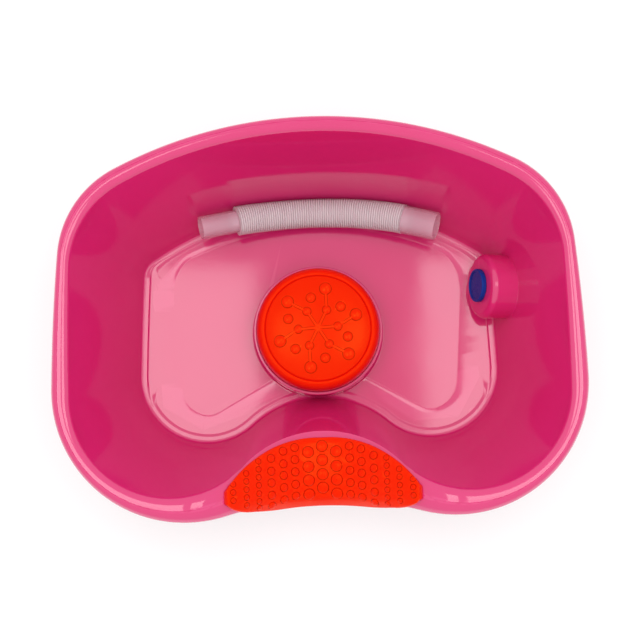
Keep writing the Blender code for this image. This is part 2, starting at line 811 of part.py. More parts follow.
def tube(name, points, radii, collection):
    """A round tube along points, made a mesh with its caps welded."""
    curve = bpy.data.curves.new(name, "CURVE")
    curve.dimensions = "3D"
    curve.bevel_depth = 1
    curve.bevel_resolution = 2
    curve.use_fill_caps = True
    spline = curve.splines.new("POLY")
    spline.points.add(len(points) - 1)
    for point, place, radius in zip(spline.points, points, radii):
        point.co = (*place, 1)
        point.radius = radius
    guide = bpy.data.objects.new(name + "_guide", curve)
    cutters.objects.link(guide)
    bpy.context.view_layer.update()
    graph = bpy.context.evaluated_depsgraph_get()
    mesh = bpy.data.meshes.new_from_object(guide.evaluated_get(graph))
    bm = bmesh.new()
    bm.from_mesh(mesh)
    bmesh.ops.remove_doubles(bm, verts=bm.verts, dist=MERGE_DISTANCE)
    bpy.data.objects.remove(guide, do_unlink=True)
    return add_object(name, bm, collection)


def make_hose(look):
    """The ribbed length, with two points of unlike radius for each rib, and its bore."""
    points = hose_axis(HOSE_RIB_PITCH / 2)
    radii = [HOSE_ROOT_RADIUS if index % 2 else HOSE_RADIUS for index in range(len(points))]
    hose = tube("drain_hose", points, radii, basin)
    bore_every = 10
    bore_points = points[:-1:bore_every] + [points[-1]]
    bore_points.insert(0, points[0] * 2 - points[2])
    bore_points.append(points[-1] * 2 - points[-3])
    bore = tube("hose_bore", bore_points, [HOSE_BORE_RADIUS] * len(bore_points), cutters)
    combine(hose, bore, "DIFFERENCE")
    finish(hose, look)
    return hose


def make_cuff(name, axis, radius, bore, length, look):
    """A straight tube from the hose axis's first point outwards, its origin at that point."""
    profile = [(radius, length), (radius, CLEARANCE), (bore, CLEARANCE), (bore, length)]
    cuff = turned(name, profile, CUFF_STEPS, basin)
    outward = (axis[0] - axis[1]).normalized()
    turn = Vector((0, 0, 1)).rotation_difference(outward).to_matrix().to_4x4()
    cuff.matrix_world = Matrix.Translation(axis[0]) @ turn
    finish(cuff, look)
    return cuff


def make_hose_and_cuffs(ribbed_look, cuff_look):
    hose = make_hose(ribbed_look)
    axis = hose_axis(HOSE_RIB_PITCH / 2)
    small_bore = SMALL_CUFF_RADIUS - CUFF_WALL
    large_bore = SPOUT_RADIUS + CLEARANCE
    small_size = (SMALL_CUFF_RADIUS, small_bore, SMALL_CUFF_LENGTH)
    large_size = (LARGE_CUFF_RADIUS, large_bore, LARGE_CUFF_LENGTH)
    small = make_cuff("hose_small_cuff", axis, *small_size, cuff_look)
    large = make_cuff("hose_large_cuff", axis[::-1], *large_size, cuff_look)
    lift = bpy.data.objects.new("hose_lift", None)
    lift.location = axis[len(axis) // 2]
    basin.objects.link(lift)
    bpy.context.view_layer.update()
    for piece in (hose, small, large):
        piece.parent = lift
        piece.matrix_parent_inverse = lift.matrix_world.inverted()


def main():
    clear_scene()
    rubber = material("orange_red_rubber", (0.95, 0.06, 0.01), 0.45)
    make_basin_shell(material("pink_gloss_plastic", (0.80, 0.10, 0.25), 0.15))
    make_head_pad(rubber)
    make_neck_pad(rubber)
    make_drain_plug(material("blue_plastic", (0.01, 0.06, 0.35), 0.35))
    milky = material("milky_hose_plastic", (0.80, 0.78, 0.78), 0.40)
    make_hose_and_cuffs(milky, material("clear_cuff_plastic", (0.80, 0.55, 0.62), 0.35))


main()
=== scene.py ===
"""Looks of the portable shampoo basin: moulded shell, rubber pads, drain plug and drain hose.

Every length is in metres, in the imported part's own frame: +X towards the drain, +Y away from
the neck saddle and +Z up.
"""

import logging
import math
from collections.abc import Iterable, Sequence
from dataclasses import dataclass
from enum import Enum
from functools import cached_property
from itertools import pairwise

import bmesh
import bpy
from bmesh.types import BMEdge, BMesh, BMVert
from bpy.types import Material, Mesh, Node, NodeSocket, NodeTree, Object
from mathutils import Matrix, Vector


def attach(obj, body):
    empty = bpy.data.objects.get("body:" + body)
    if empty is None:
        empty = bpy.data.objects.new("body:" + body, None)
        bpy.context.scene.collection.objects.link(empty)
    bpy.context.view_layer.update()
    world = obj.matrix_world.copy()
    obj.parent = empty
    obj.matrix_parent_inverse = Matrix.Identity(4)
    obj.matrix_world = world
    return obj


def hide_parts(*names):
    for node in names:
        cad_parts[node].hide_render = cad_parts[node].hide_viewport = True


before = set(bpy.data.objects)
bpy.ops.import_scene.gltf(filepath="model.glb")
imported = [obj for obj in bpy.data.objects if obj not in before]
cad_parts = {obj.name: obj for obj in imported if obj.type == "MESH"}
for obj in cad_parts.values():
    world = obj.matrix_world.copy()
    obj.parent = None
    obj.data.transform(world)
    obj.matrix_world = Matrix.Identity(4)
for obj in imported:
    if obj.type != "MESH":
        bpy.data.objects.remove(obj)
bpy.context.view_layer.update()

LOG = logging.getLogger("shampoo_basin")
MERGE_DISTANCE = 1e-6
FULL_TURN = 2 * math.pi
UP = Vector((0, 0, 1))
# Share of a straight stretch that a round may take.
ALMOST = 0.98
PAD_SHARP_ANGLE = math.radians(40)

Point = tuple[float, float]
Corner = tuple[float, float, float]
Colour = tuple[float, float, float]
Ring = list[Vector]


class Body(Enum):
    """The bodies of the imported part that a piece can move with."""

    BASIN = "basin"
    HEAD_REST = "head_rest"
    NECK_REST = "neck_rest"
    PLUG = "plug"
    HOSE = "hose"


class Slot(Enum):
    """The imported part's material slots."""

    PINK_PLASTIC = "pink_plastic"
    RUBBER = "orange_red_rubber"
    BLUE_PLASTIC = "blue_plastic"
    MILKY_PLASTIC = "milky_plastic"
    CLEAR_PLASTIC = "pink_clear_plastic"


class Joining(Enum):
    """How one solid is joined to another."""

    ADD = "UNION"
    CUT = "DIFFERENCE"
    KEEP_COMMON = "INTERSECT"


# Shaping


def between(first: float, second: float, share: float) -> float:
    """Gives the number that lies a share of the way from one to another."""
    return first + (second - first) * share


def eased(share: float) -> float:
    """Gives a share, kept from 0 to 1, with a soft start and end."""
    kept = min(max(share, 0), 1)
    return kept**2 * (3 - 2 * kept)


def polar(radius: float, angle: float, height: float = 0.0) -> Vector:
    """Gives the point at a radius and an angle round the Z axis."""
    return Vector((radius * math.cos(angle), radius * math.sin(angle), height))


def standing(foot: Vector, way: Vector) -> Matrix:
    """Gives the place of a turned form that stands on a foot and points a way."""
    return Matrix.Translation(foot) @ UP.rotation_difference(way).to_matrix().to_4x4()


def smooth_point(route: Sequence[Vector], position: float) -> Vector:
    """Finds a point on the smooth curve through a route's points.

    Args:
        route: The points that the curve passes.
        position: How many points along the route, with a fraction.

    Returns:
        The point on the curve.
    """
    last = len(route) - 1
    index = min(int(position), last - 1)
    share = position - index
    first, second = route[index], route[index + 1]
    before = route[index - 1] if index > 0 else first * 2 - second
    after = route[index + 2] if index + 2 <= last else second * 2 - first
    leave, arrive = (second - before) / 2, (after - first) / 2
    bend = leave * (share**3 - 2 * share**2 + share) + arrive * (share**3 - share**2)
    return first.lerp(second, eased(share)) + bend


def along_route(route: Sequence[Sequence[float]], across: float) -> Vector:
    """Finds the point at a place across on the smooth curve through a route's points.

    Args:
        route: The points, whose first numbers rise and are their places across.
        across: The place across.

    Returns:
        The point on the curve, or the route's last point beyond it.
    """
    points = [Vector((*point, 0)[:3]) for point in route]
    for index, (first, second) in enumerate(pairwise(points)):
        if across <= second.x:
            return smooth_point(points, index + (across - first.x) / (second.x - first.x))
    return points[-1]


def rounded(corners: Sequence[Corner], steps: int = 6) -> Ring:
    """Rounds the corners of a profile.

    Args:
        corners: Each corner's place across and up, and the radius of its round.
        steps: Straight steps in each round.

    Returns:
        The profile's points, with their place across as X and up as Z.
    """
    flat = [Vector(corner[:2]) for corner in corners]
    points: Ring = []
    for index, (across, up, radius) in enumerate(corners):
        if radius == 0 or index in (0, len(corners) - 1):
            points.append(Vector((across, 0, up)))
            continue
        here = flat[index]
        back, on = ((flat[near] - here).normalized() for near in (index - 1, index + 1))
        half = back.angle(on) / 2
        centre = here + (back + on).normalized() * (radius / math.sin(half))
        spoke = here + back * (radius / math.tan(half)) - centre
        turn = math.copysign(math.pi - 2 * half, back.y * on.x - back.x * on.y)
        for step in range(steps + 1):
            point = centre + Matrix.Rotation(turn * step / steps, 2) @ spoke
            points.append(Vector((point.x, 0, point.y)))
    return points


def turned(corners: Sequence[Corner], steps: int, place: Matrix, round_steps: int = 6) -> BMesh:
    """Rounds a profile's corners and turns it once round the Z axis.

    Args:
        corners: The corners from the axis round to the axis, or round a ring's section and back.
        steps: Steps in the full turn.
        place: Where the turned solid goes.
        round_steps: Steps in each round.

    Returns:
        The turned solid, in place.
    """
    bm = bmesh.new()
    points = [bm.verts.new(point) for point in rounded(corners, round_steps)]
    for pair in pairwise(points):
        bm.edges.new(pair)
    geom = bm.verts[:] + bm.edges[:]
    bmesh.ops.spin(bm, geom=geom, cent=(0, 0, 0), axis=UP, angle=FULL_TURN, steps=steps, use_merge=True)
    bmesh.ops.remove_doubles(bm, verts=bm.verts, dist=MERGE_DISTANCE)
    bmesh.ops.recalc_face_normals(bm, faces=bm.faces)
    bm.transform(place)
    return bm


def drawn_out(rings: Sequence[Ring], closed_ends: tuple[bool, bool] = (True, True)) -> BMesh:
    """Draws the first ring, then extrudes it from ring to ring.

    Args:
        rings: Closed rings with equally many points. A last one on the first makes a loop.
        closed_ends: Whether the first and the last ring are filled.

    Returns:
        The drawn form, faces outwards where both ends are closed or it is a loop.
    """
    bm = bmesh.new()
    column = bm.verts.layers.int.new("column")
    start = [bm.verts.new(point) for point in rings[0]]
    for index, point in enumerate(start):
        point[column] = index
    first_edges = [bm.edges.new((start[index - 1], point)) for index, point in enumerate(start)]
    edges = first_edges
    for ring in rings[1:]:
        made = bmesh.ops.extrude_edge_only(bm, edges=edges)["geom"]
        new = {item for item in made if isinstance(item, BMVert)}
        for point in new:
            point.co = ring[point[column]]
        edges = [item for item in made if isinstance(item, BMEdge) and set(item.verts) <= new]
    for closed, border in zip(closed_ends, (first_edges, edges)):
        if closed:
            bmesh.ops.edgeloop_fill(bm, edges=border)
    if not any(closed_ends):
        bmesh.ops.remove_doubles(bm, verts=bm.verts, dist=MERGE_DISTANCE)
    bmesh.ops.recalc_face_normals(bm, faces=bm.faces)
    return bm


def joined(target: BMesh, extra: BMesh) -> None:
    """Moves one mesh's faces into another.

    Args:
        target: The mesh that grows.
        extra: The mesh whose faces move, which is used up.
    """
    spare = bpy.data.meshes.new("spare")
    extra.to_mesh(spare)
    extra.free()
    target.from_mesh(spare)
    bpy.data.meshes.remove(spare)


def placed(name: str, bm: BMesh) -> Object:
    """Makes a mesh an object of the scene.

    Args:
        name: The object's name.
        bm: The mesh, which is used up.

    Returns:
        The new object.
    """
    mesh = bpy.data.meshes.new(name)
    bm.to_mesh(mesh)
    bm.free()
    obj = bpy.data.objects.new(name, mesh)
    bpy.context.scene.collection.objects.link(obj)
    return obj


def add_solid(target: Object, name: str, bm: BMesh, how: Joining, overlapping: bool = False) -> Object:
    """Joins a helper solid to an object with a Boolean modifier.

    Args:
        target: The object that is changed.
        name: The helper's name.
        bm: The helper's mesh, which is used up.
        how: Whether the helper is added, cut away or kept in common.
        overlapping: Whether the helper's own solids run into each other.

    Returns:
        The helper object.
    """
    helper = placed(name, bm)
    modifier = target.modifiers.new(name, "BOOLEAN")
    modifier.object = helper
    modifier.operation = how.value
    modifier.solver = "EXACT" if overlapping else "MANIFOLD"
    modifier.use_self = overlapping
    return helper


def modified(obj: Object) -> Mesh:
    """Gives a new mesh with the shape that an object's modifiers give.

    Args:
        obj: The object, which stays as it is.

    Returns:
        The new mesh.
    """
    bpy.context.view_layer.update()
    graph = bpy.context.evaluated_depsgraph_get()
    return bpy.data.meshes.new_from_object(obj.evaluated_get(graph))


def settled(obj: Object, helpers: Iterable[Object]) -> BMesh:
    """Takes the shape that an object's modifiers give, and clears it and its helpers away.

    Args:
        obj: The object, which is used up.
        helpers: Its helpers, which are used up too.

    Returns:
        The shape's mesh.
    """
    mesh = modified(obj)
    bm = bmesh.new()
    bm.from_mesh(mesh)
    bpy.data.meshes.remove(mesh)
    for spent in (obj, *helpers):
        bpy.data.objects.remove(spent, do_unlink=True)
    return bm


@dataclass(frozen=True)
class Piece:
    """A finished piece: what it is called, what it moves with and what it stands for."""

    name: str
    body: Body
    slot: Slot
    stands_for: str
    sharp_angle: float = math.radians(35)

    def make(self, bm: BMesh, look: Material) -> Object:
        """Makes the piece's object and dresses it.

        Args:
            bm: The piece's mesh, in place, which is used up.
            look: The piece's material.

        Returns:
            The finished object.
        """
        obj = placed(self.name, bm)
        obj.data.materials.clear()
        obj.data.materials.append(look)
        obj.data.shade_smooth()
        obj.data.set_sharp_from_angle(angle=self.sharp_angle)
        self._even_shading(obj)
        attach(obj, self.body.value)
        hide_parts(self.stands_for)
        LOG.info("%s: %d faces", self.name, len(obj.data.polygons))
        return obj

    @staticmethod
    def _even_shading(obj: Object) -> None:
        """Lets large faces keep their own shading, so that only small ones look rounded.

        Args:
            obj: The object, which gets a new mesh.
        """
        obj.modifiers.new("even_shading", "WEIGHTED_NORMAL").keep_sharp = True
        plain, obj.data = obj.data, modified(obj)
        obj.modifiers.clear()
        bpy.data.meshes.remove(plain)
        obj.data.name = obj.name


# Materials


class Wiring:
    """Adds nodes to one node tree and wires them together."""

    def __init__(self, tree: NodeTree) -> None:
        """Keeps the tree that the nodes go into."""
        self.tree = tree

    def node(self, kind: str, inputs: dict[str | int, object], **settings: object) -> Node:
        """Adds a node.

        Args:
            kind: The node's type, without its ShaderNode prefix.
            inputs: A plain value or another node's output for each input named.
            settings: Properties of the node.

        Returns:
            The new node.
        """
        made = self.tree.nodes.new("ShaderNode" + kind)
        for name, value in settings.items():
            setattr(made, name, value)
        self.feed(made, inputs)
        return made

    def feed(self, node: Node, inputs: dict[str | int, object]) -> None:
        """Sets a node's inputs that have plain values, and wires the others.

        Args:
            node: The node.
            inputs: A plain value or another node's output for each input named.
        """
        for name, value in inputs.items():
            if isinstance(value, NodeSocket):
                self.tree.links.new(value, node.inputs[name])
            else:
                node.inputs[name].default_value = value

    def blend(self, share: NodeSocket, first: object, second: object) -> NodeSocket:
        """Mixes two colours, and gives the mixed one."""
        return self.node("Mix", {0: share, 6: first, 7: second}, data_type="RGBA").outputs[2]


class SharedGroup(Wiring):
    """A group of nodes that several finishes share."""

    def __init__(self, name: str, inputs: dict[str, str], outputs: dict[str, str]) -> None:
        """Opens the group.

        Args:
            name: The group's name.
            inputs: The kind of each input.
            outputs: The kind of each output.
        """
        super().__init__(bpy.data.node_groups.new(name, "ShaderNodeTree"))
        for way, sockets in (("INPUT", inputs), ("OUTPUT", outputs)):
            for label, kind in sockets.items():
                self.tree.interface.new_socket(label, in_out=way, socket_type="NodeSocket" + kind)
        self.entry = self.tree.nodes.new("NodeGroupInput").outputs
        self.exit = self.tree.nodes.new("NodeGroupOutput")


class MouldedSkin(SharedGroup):
    """The faint unevenness of a moulded surface: grain, ripple and patches."""

    ripple_span: Point = (0.3, 0.7)
    detail: float = 4

    def __init__(self) -> None:
        """Builds the group once."""
        numbers = ("Grain Scale", "Grain Share", "Ripple Scale", "Smoothest", "Roughest")
        outputs = dict.fromkeys(("Roughness", "Height", "Patches"), "Float")
        super().__init__("moulded_skin", {"Vector": "Vector", **dict.fromkeys(numbers, "Float")}, outputs)
        grain, ripple = (self._noise(self.entry[scale]) for scale in ("Grain Scale", "Ripple Scale"))
        low, high = self.ripple_span
        smooth, rough = self.entry["Smoothest"], self.entry["Roughest"]
        spread = {"Value": ripple, "From Min": low, "From Max": high, "To Min": smooth, "To Max": rough}
        roughness = self.node("MapRange", spread).outputs["Result"]
        total = {0: grain, 1: self.entry["Grain Share"], 2: ripple}
        height = self.node("Math", total, operation="MULTIPLY_ADD").outputs[0]
        self.feed(self.exit, {"Roughness": roughness, "Height": height, "Patches": ripple})

    def _noise(self, scale: NodeSocket) -> NodeSocket:
        """Adds noise of a scale, and gives its value."""
        inputs = {"Vector": self.entry["Vector"], "Scale": scale, "Detail": self.detail}
        return self.node("TexNoise", inputs).outputs["Fac"]


class EdgeWearAndCreaseShade(SharedGroup):
    """Lighter edges, partly wear and partly a painted highlight, and darker creases, which are painted
    shade.
    """

    edge_span: Point = (0.51, 0.60)
    crease_shade_span: Point = (0.49, 0.42)

    def __init__(self) -> None:
        """Builds the group once."""
        colours = dict.fromkeys(("Colour", "Worn Edge And Highlight Colour", "Crease Shade Colour"), "Color")
        super().__init__("edge_wear_and_crease_shade", {**colours, "Amount": "Float"}, {"Colour": "Color"})
        pointiness = self.node("NewGeometry", {}).outputs["Pointiness"]
        colour = self.entry["Colour"]
        # Pointiness lightens edges with a worn colour that is also a painted highlight, and darkens
        # creases with painted shade.
        for name, (low, high) in (("Worn Edge And Highlight Colour", self.edge_span), ("Crease Shade Colour", self.crease_shade_span)):
            mask = self.node("MapRange", {"Value": pointiness, "From Min": low, "From Max": high})
            shares = {0: mask.outputs["Result"], 1: self.entry["Amount"]}
            share = self.node("Math", shares, operation="MULTIPLY").outputs[0]
            colour = self.blend(share, colour, self.entry[name])
        self.feed(self.exit, {"Colour": colour})


@dataclass(frozen=True)
class Finish:
    """The finish of one material: its colours, gloss, grain and clearness."""

    name: str
    colour: Colour
    patch_colour: Colour
    # The edge colour is partly worn edges and partly a painted highlight; the crease colour is painted
    # shade in creases and moats.
    edge_wear_and_highlight_colour: Colour
    crease_shade_colour: Colour
    smoothest: float
    roughest: float
    grain_scale: float
    ripple_scale: float
    bump: float
    grain_share: float = 0.25
    # How strongly edges take the worn, highlighted colour and creases take the painted shade.
    wear_and_shade: float = 0.25
    alpha: float = 1.0
    gloss: float = 0.5
    shine_tint: Colour = (1.0, 1.0, 1.0)
    glow_share: float = 0.3
    glow_colour: Colour = (1.0, 0.25, 0.12)
    glow_depth: float = 0.0

    def material(self, skin: MouldedSkin, wear_and_shade: EdgeWearAndCreaseShade) -> Material:
        """Builds the material.

        Args:
            skin: The shared group of moulded unevenness.
            wear_and_shade: The shared group of edge wear, painted edge highlights and painted crease
                shade.

        Returns:
            The material.
        """
        made = bpy.data.materials.new(self.name)
        made.use_nodes = True
        wiring = Wiring(made.node_tree)
        grain = {
            "Vector": wiring.node("TexCoord", {}).outputs["Object"],
            "Grain Scale": self.grain_scale,
            "Grain Share": self.grain_share,
            "Ripple Scale": self.ripple_scale,
            "Smoothest": self.smoothest,
            "Roughest": self.roughest,
        }
        surface = wiring.node("Group", grain, node_tree=skin.tree).outputs
        colours = {
            "Colour": wiring.blend(surface["Patches"], (*self.colour, 1), (*self.patch_colour, 1)),
            "Worn Edge And Highlight Colour": (*self.edge_wear_and_highlight_colour, 1),
            "Crease Shade Colour": (*self.crease_shade_colour, 1),
            "Amount": self.wear_and_shade,
        }
        # Edges get the worn colour with a painted highlight, and creases get painted shade.
        worn_and_shaded = wiring.node("Group", colours, node_tree=wear_and_shade.tree).outputs["Colour"]
        relief = {"Strength": 1.0, "Distance": self.bump, "Height": surface["Height"]}
        shading = {
            "Base Color": worn_and_shaded,
            "Roughness": surface["Roughness"],
            "Normal": wiring.node("Bump", relief).outputs["Normal"],
            "Alpha": self.alpha,
            "Specular IOR Level": self.gloss,
            "Specular Tint": (*self.shine_tint, 1),
        }
        if self.glow_depth > 0:
            shading["Subsurface Weight"] = self.glow_share
            shading["Subsurface Radius"] = self.glow_colour
            shading["Subsurface Scale"] = self.glow_depth
        wiring.feed(made.node_tree.nodes["Principled BSDF"], shading)
        return made


PINK_PLASTIC = Finish(
    "pink_gloss_plastic",
    colour=(0.60, 0.015, 0.138),
    patch_colour=(0.63, 0.019, 0.150),
    edge_wear_and_highlight_colour=(0.78, 0.08, 0.26),
    crease_shade_colour=(0.48, 0.006, 0.075),
    smoothest=0.05,
    roughest=0.09,
    grain_scale=700,
    ripple_scale=16,
    bump=0.00008,
    grain_share=0.03,
    gloss=1.0,
)
RUBBER = Finish(
    "orange_red_rubber",
    colour=(0.74, 0.0045, 0.0008),
    patch_colour=(0.77, 0.006, 0.001),
    # The bright orange edge colour paints highlights on the pad's edges, and the dark crease colour
    # paints shade in the moats round the bumps.
    edge_wear_and_highlight_colour=(0.95, 0.035, 0.003),
    crease_shade_colour=(0.30, 0.001, 0.0005),
    smoothest=0.18,
    roughest=0.25,
    grain_scale=1400,
    ripple_scale=30,
    bump=0.00004,
    gloss=0.6,
    shine_tint=(1.0, 0.34, 0.03),
    wear_and_shade=0.7,
    glow_depth=0.0002,
)
BLUE_PLASTIC = Finish(
    "blue_plastic",
    colour=(0.004, 0.024, 0.20),
    patch_colour=(0.006, 0.030, 0.24),
    edge_wear_and_highlight_colour=(0.02, 0.09, 0.42),
    crease_shade_colour=(0.003, 0.008, 0.07),
    smoothest=0.24,
    roughest=0.32,
    grain_scale=1200,
    ripple_scale=60,
    bump=0.00003,
    gloss=0.12,
)
MILKY_PLASTIC = Finish(
    "milky_hose_plastic",
    colour=(0.78, 0.68, 0.71),
    patch_colour=(0.82, 0.73, 0.75),
    edge_wear_and_highlight_colour=(0.90, 0.85, 0.86),
    crease_shade_colour=(0.52, 0.36, 0.41),
    smoothest=0.26,
    roughest=0.34,
    grain_scale=1100,
    ripple_scale=40,
    bump=0.00003,
    wear_and_shade=0.6,
    alpha=0.80,
)
CLEAR_PLASTIC = Finish(
    "clear_cuff_plastic",
    colour=(0.66, 0.36, 0.45),
    patch_colour=(0.70, 0.41, 0.50),
    # The lighter edge colour paints a highlight along the cuffs' edges.
    edge_wear_and_highlight_colour=(0.88, 0.70, 0.76),
    crease_shade_colour=(0.66, 0.36, 0.45),
    smoothest=0.08,
    roughest=0.14,
    grain_scale=1100,
    ripple_scale=50,
    bump=0.00003,
    gloss=0.7,
    alpha=0.42,
)


# Camera, lights and floor


@dataclass
class Studio:
    """The camera at the photograph's angle, two softboxes, a wide overhead light and a pale floor."""

    elevation: float = math.radians(83.8)
    roll: float = math.radians(1.72)
    distance: float = 1.8
    target_height: float = 0.140
    lens: float = 113.26
    sensor_width: float = 36
    shift: Point = (0.003125, -0.0071875)
    softbox_height: float = 2.0
    softbox_middle_y: float = 0.093
    softbox_depth: float = 0.486
    left_softbox: Point = (-0.60, -0.11)
    right_softbox: Point = (0.21, 0.75)
    softbox_brightness: float = 2.15
    overhead_size: float = 2.5
    overhead_height: float = 3.0
    overhead_power: float = 40.0
    daylight: float = 0.9
    floor_grey: float = 0.98
    floor_roughness: float = 0.9
    floor_whiteness: float = 0.6
    floor_size: float = 8.0

    def build(self) -> None:
        """Builds the whole studio."""
        self._camera()
        for name, (left, right) in (("left", self.left_softbox), ("right", self.right_softbox)):
            width, depth = right - left, self.softbox_depth
            place = ((left + right) / 2, self.softbox_middle_y, self.softbox_height)
            power = self.softbox_brightness * math.pi * width * depth
            self._lamp(name + "_softbox", (width, depth), power, place)
        wide = (self.overhead_size, self.overhead_size)
        overhead = self._lamp("overhead", wide, self.overhead_power, (0, 0, self.overhead_height))
        # The wide light stays out of reflections.
        overhead.visible_glossy = False
        self._daylight()
        self._floor()
        bpy.context.scene.view_settings.view_transform = "Standard"
        LOG.info("studio: camera, three lights and floor")

    def _camera(self) -> None:
        """Places the camera above the basin, tipped towards the neck saddle."""
        lens = bpy.data.cameras.new("photo_camera")
        lens.lens, lens.sensor_width = self.lens, self.sensor_width
        lens.shift_x, lens.shift_y = self.shift
        camera = bpy.data.objects.new("photo_camera", lens)
        tip = Matrix.Rotation(math.pi / 2 - self.elevation, 4, "X")
        turn = Matrix.Rotation(-self.roll, 4, "Z")
        target = Matrix.Translation((0, 0, self.target_height))
        camera.matrix_world = target @ turn @ tip @ Matrix.Translation((0, 0, self.distance))
        bpy.context.scene.collection.objects.link(camera)
        bpy.context.scene.camera = camera

    @staticmethod
    def _lamp(name: str, size: Point, power: float, place: Corner) -> Object:
        """Hangs a flat lamp that shines straight down.

        Args:
            name: The lamp's name.
            size: Its size along X and Y.
            power: Its power in watts.
            place: Its middle.

        Returns:
            The lamp.
        """
        light = bpy.data.lights.new(name, "AREA")
        light.shape, light.energy = "RECTANGLE", power
        light.size, light.size_y = size
        lamp = bpy.data.objects.new(name, light)
        lamp.location = place
        bpy.context.scene.collection.objects.link(lamp)
        return lamp

    def _daylight(self) -> None:
        """Gives the scene even white light from all round."""
        world = bpy.data.worlds.new("even_daylight")
        world.use_nodes = True
        light = {"Color": (1, 1, 1, 1), "Strength": self.daylight}
        Wiring(world.node_tree).feed(world.node_tree.nodes["Background"], light)
        bpy.context.scene.world = world

    def _floor(self) -> None:
        """Lays the pale floor that the basin stands on."""
        bm = bmesh.new()
        bmesh.ops.create_grid(bm, x_segments=1, y_segments=1, size=self.floor_size / 2)
        floor = placed("studio_floor", bm)
        made = bpy.data.materials.new("white_floor")
        made.use_nodes = True
        nodes, wiring = made.node_tree.nodes, Wiring(made.node_tree)
        grey = (self.floor_grey, self.floor_grey, self.floor_grey, 1)
        matt = {"Base Color": grey, "Roughness": self.floor_roughness, "Specular IOR Level": 0.0}
        wiring.feed(nodes["Principled BSDF"], matt)
        seen = {0: wiring.node("LightPath", {}).outputs["Is Camera Ray"], 1: self.floor_whiteness}
        share = wiring.node("Math", seen, operation="MULTIPLY").outputs[0]
        glow = wiring.node("Emission", {}).outputs["Emission"]
        mixed = {"Fac": share, 1: nodes["Principled BSDF"].outputs["BSDF"], 2: glow}
        blend = wiring.node("MixShader", mixed).outputs["Shader"]
        wiring.feed(nodes["Material Output"], {"Surface": blend})
        floor.data.materials.append(made)


# Forms that the pieces share


def spun_on(bm: BMesh, tip: BMVert, heading: float, radius: float, turn: float, count: int) -> BMVert:
    """Leads a chain of points on by spinning its last point about the centre of its next arc.

    Args:
        bm: The chain.
        tip: The chain's last point.
        heading: The way the chain leads there, clockwise from +X.
        radius: The arc's radius, negative to the left.
        turn: The arc's turn, clockwise.
        count: Steps along the arc.

    Returns:
        The chain's new last point.
    """
    centre = tip.co + Vector((-math.sin(heading), -math.cos(heading), 0)) * radius
    made = bmesh.ops.spin(bm, geom=[tip], cent=centre, axis=UP, angle=-turn, steps=count)
    return next(item for item in made["geom_last"] if isinstance(item, BMVert))


def mirrored(half: Ring) -> Ring:
    """Closes an outline's right half, which leads from back middle to front middle."""
    half[-1].x = 0
    return half + [Vector((-point.x, point.y, 0)) for point in reversed(half[1:-1])]


@dataclass(frozen=True)
class PlanOutline:
    """A closed outline in plan, of tangent arcs stretched to a box, the same on both sides.

    Each arc is a radius, as a share of the basin's length, and its turn in degrees, from the
    back middle round to the front. A hollow arc closes the outline in the front middle.
    """

    arcs: tuple[Point, ...]
    half_length: float
    back: float
    front: float
    steps: tuple[int, ...] = (5, 7, 2, 11, 5)

    def ring(self, fineness: int) -> Ring:
        """Gives the whole outline, clockwise from the back middle.

        Args:
            fineness: How many times finer the arcs are stepped.

        Returns:
            The outline's points at height 0.
        """
        bm = bmesh.new()
        tip, heading = bm.verts.new((0, 0, 0)), 0.0
        for (radius, degrees), count in zip(self.arcs, self.steps):
            tip = spun_on(bm, tip, heading, radius, math.radians(degrees), count * fineness)
            heading += math.radians(degrees)
        over_turn = heading - math.pi
        notch = tip.co.x / math.sin(over_turn)
        spun_on(bm, tip, heading, -notch, -over_turn, self.steps[-1] * fineness)
        half = [point.co.copy() for point in bm.verts]
        bm.free()
        widest, lowest = max(point.x for point in half), min(point.y for point in half)
        scale = (self.back - self.front) / (half[0].y - lowest)
        for point in half:
            point.x *= self.half_length / widest
            point.y = self.front + (point.y - lowest) * scale
        return mirrored(half)


def inset(ring: Ring, distances: float | Sequence[float]) -> Ring:
    """Moves a closed clockwise ring inwards.

    Args:
        ring: The ring's points.
        distances: How far it moves, or how far each point does, negative to move outwards.

    Returns:
        The moved ring.
    """
    each = [distances] * len(ring) if isinstance(distances, (int, float)) else distances
    moved = []
    for index, (point, distance) in enumerate(zip(ring, each)):
        along = (ring[(index + 1) % len(ring)] - ring[index - 1]).normalized()
        moved.append(point + Vector((along.y, -along.x, 0)) * distance)
    return moved


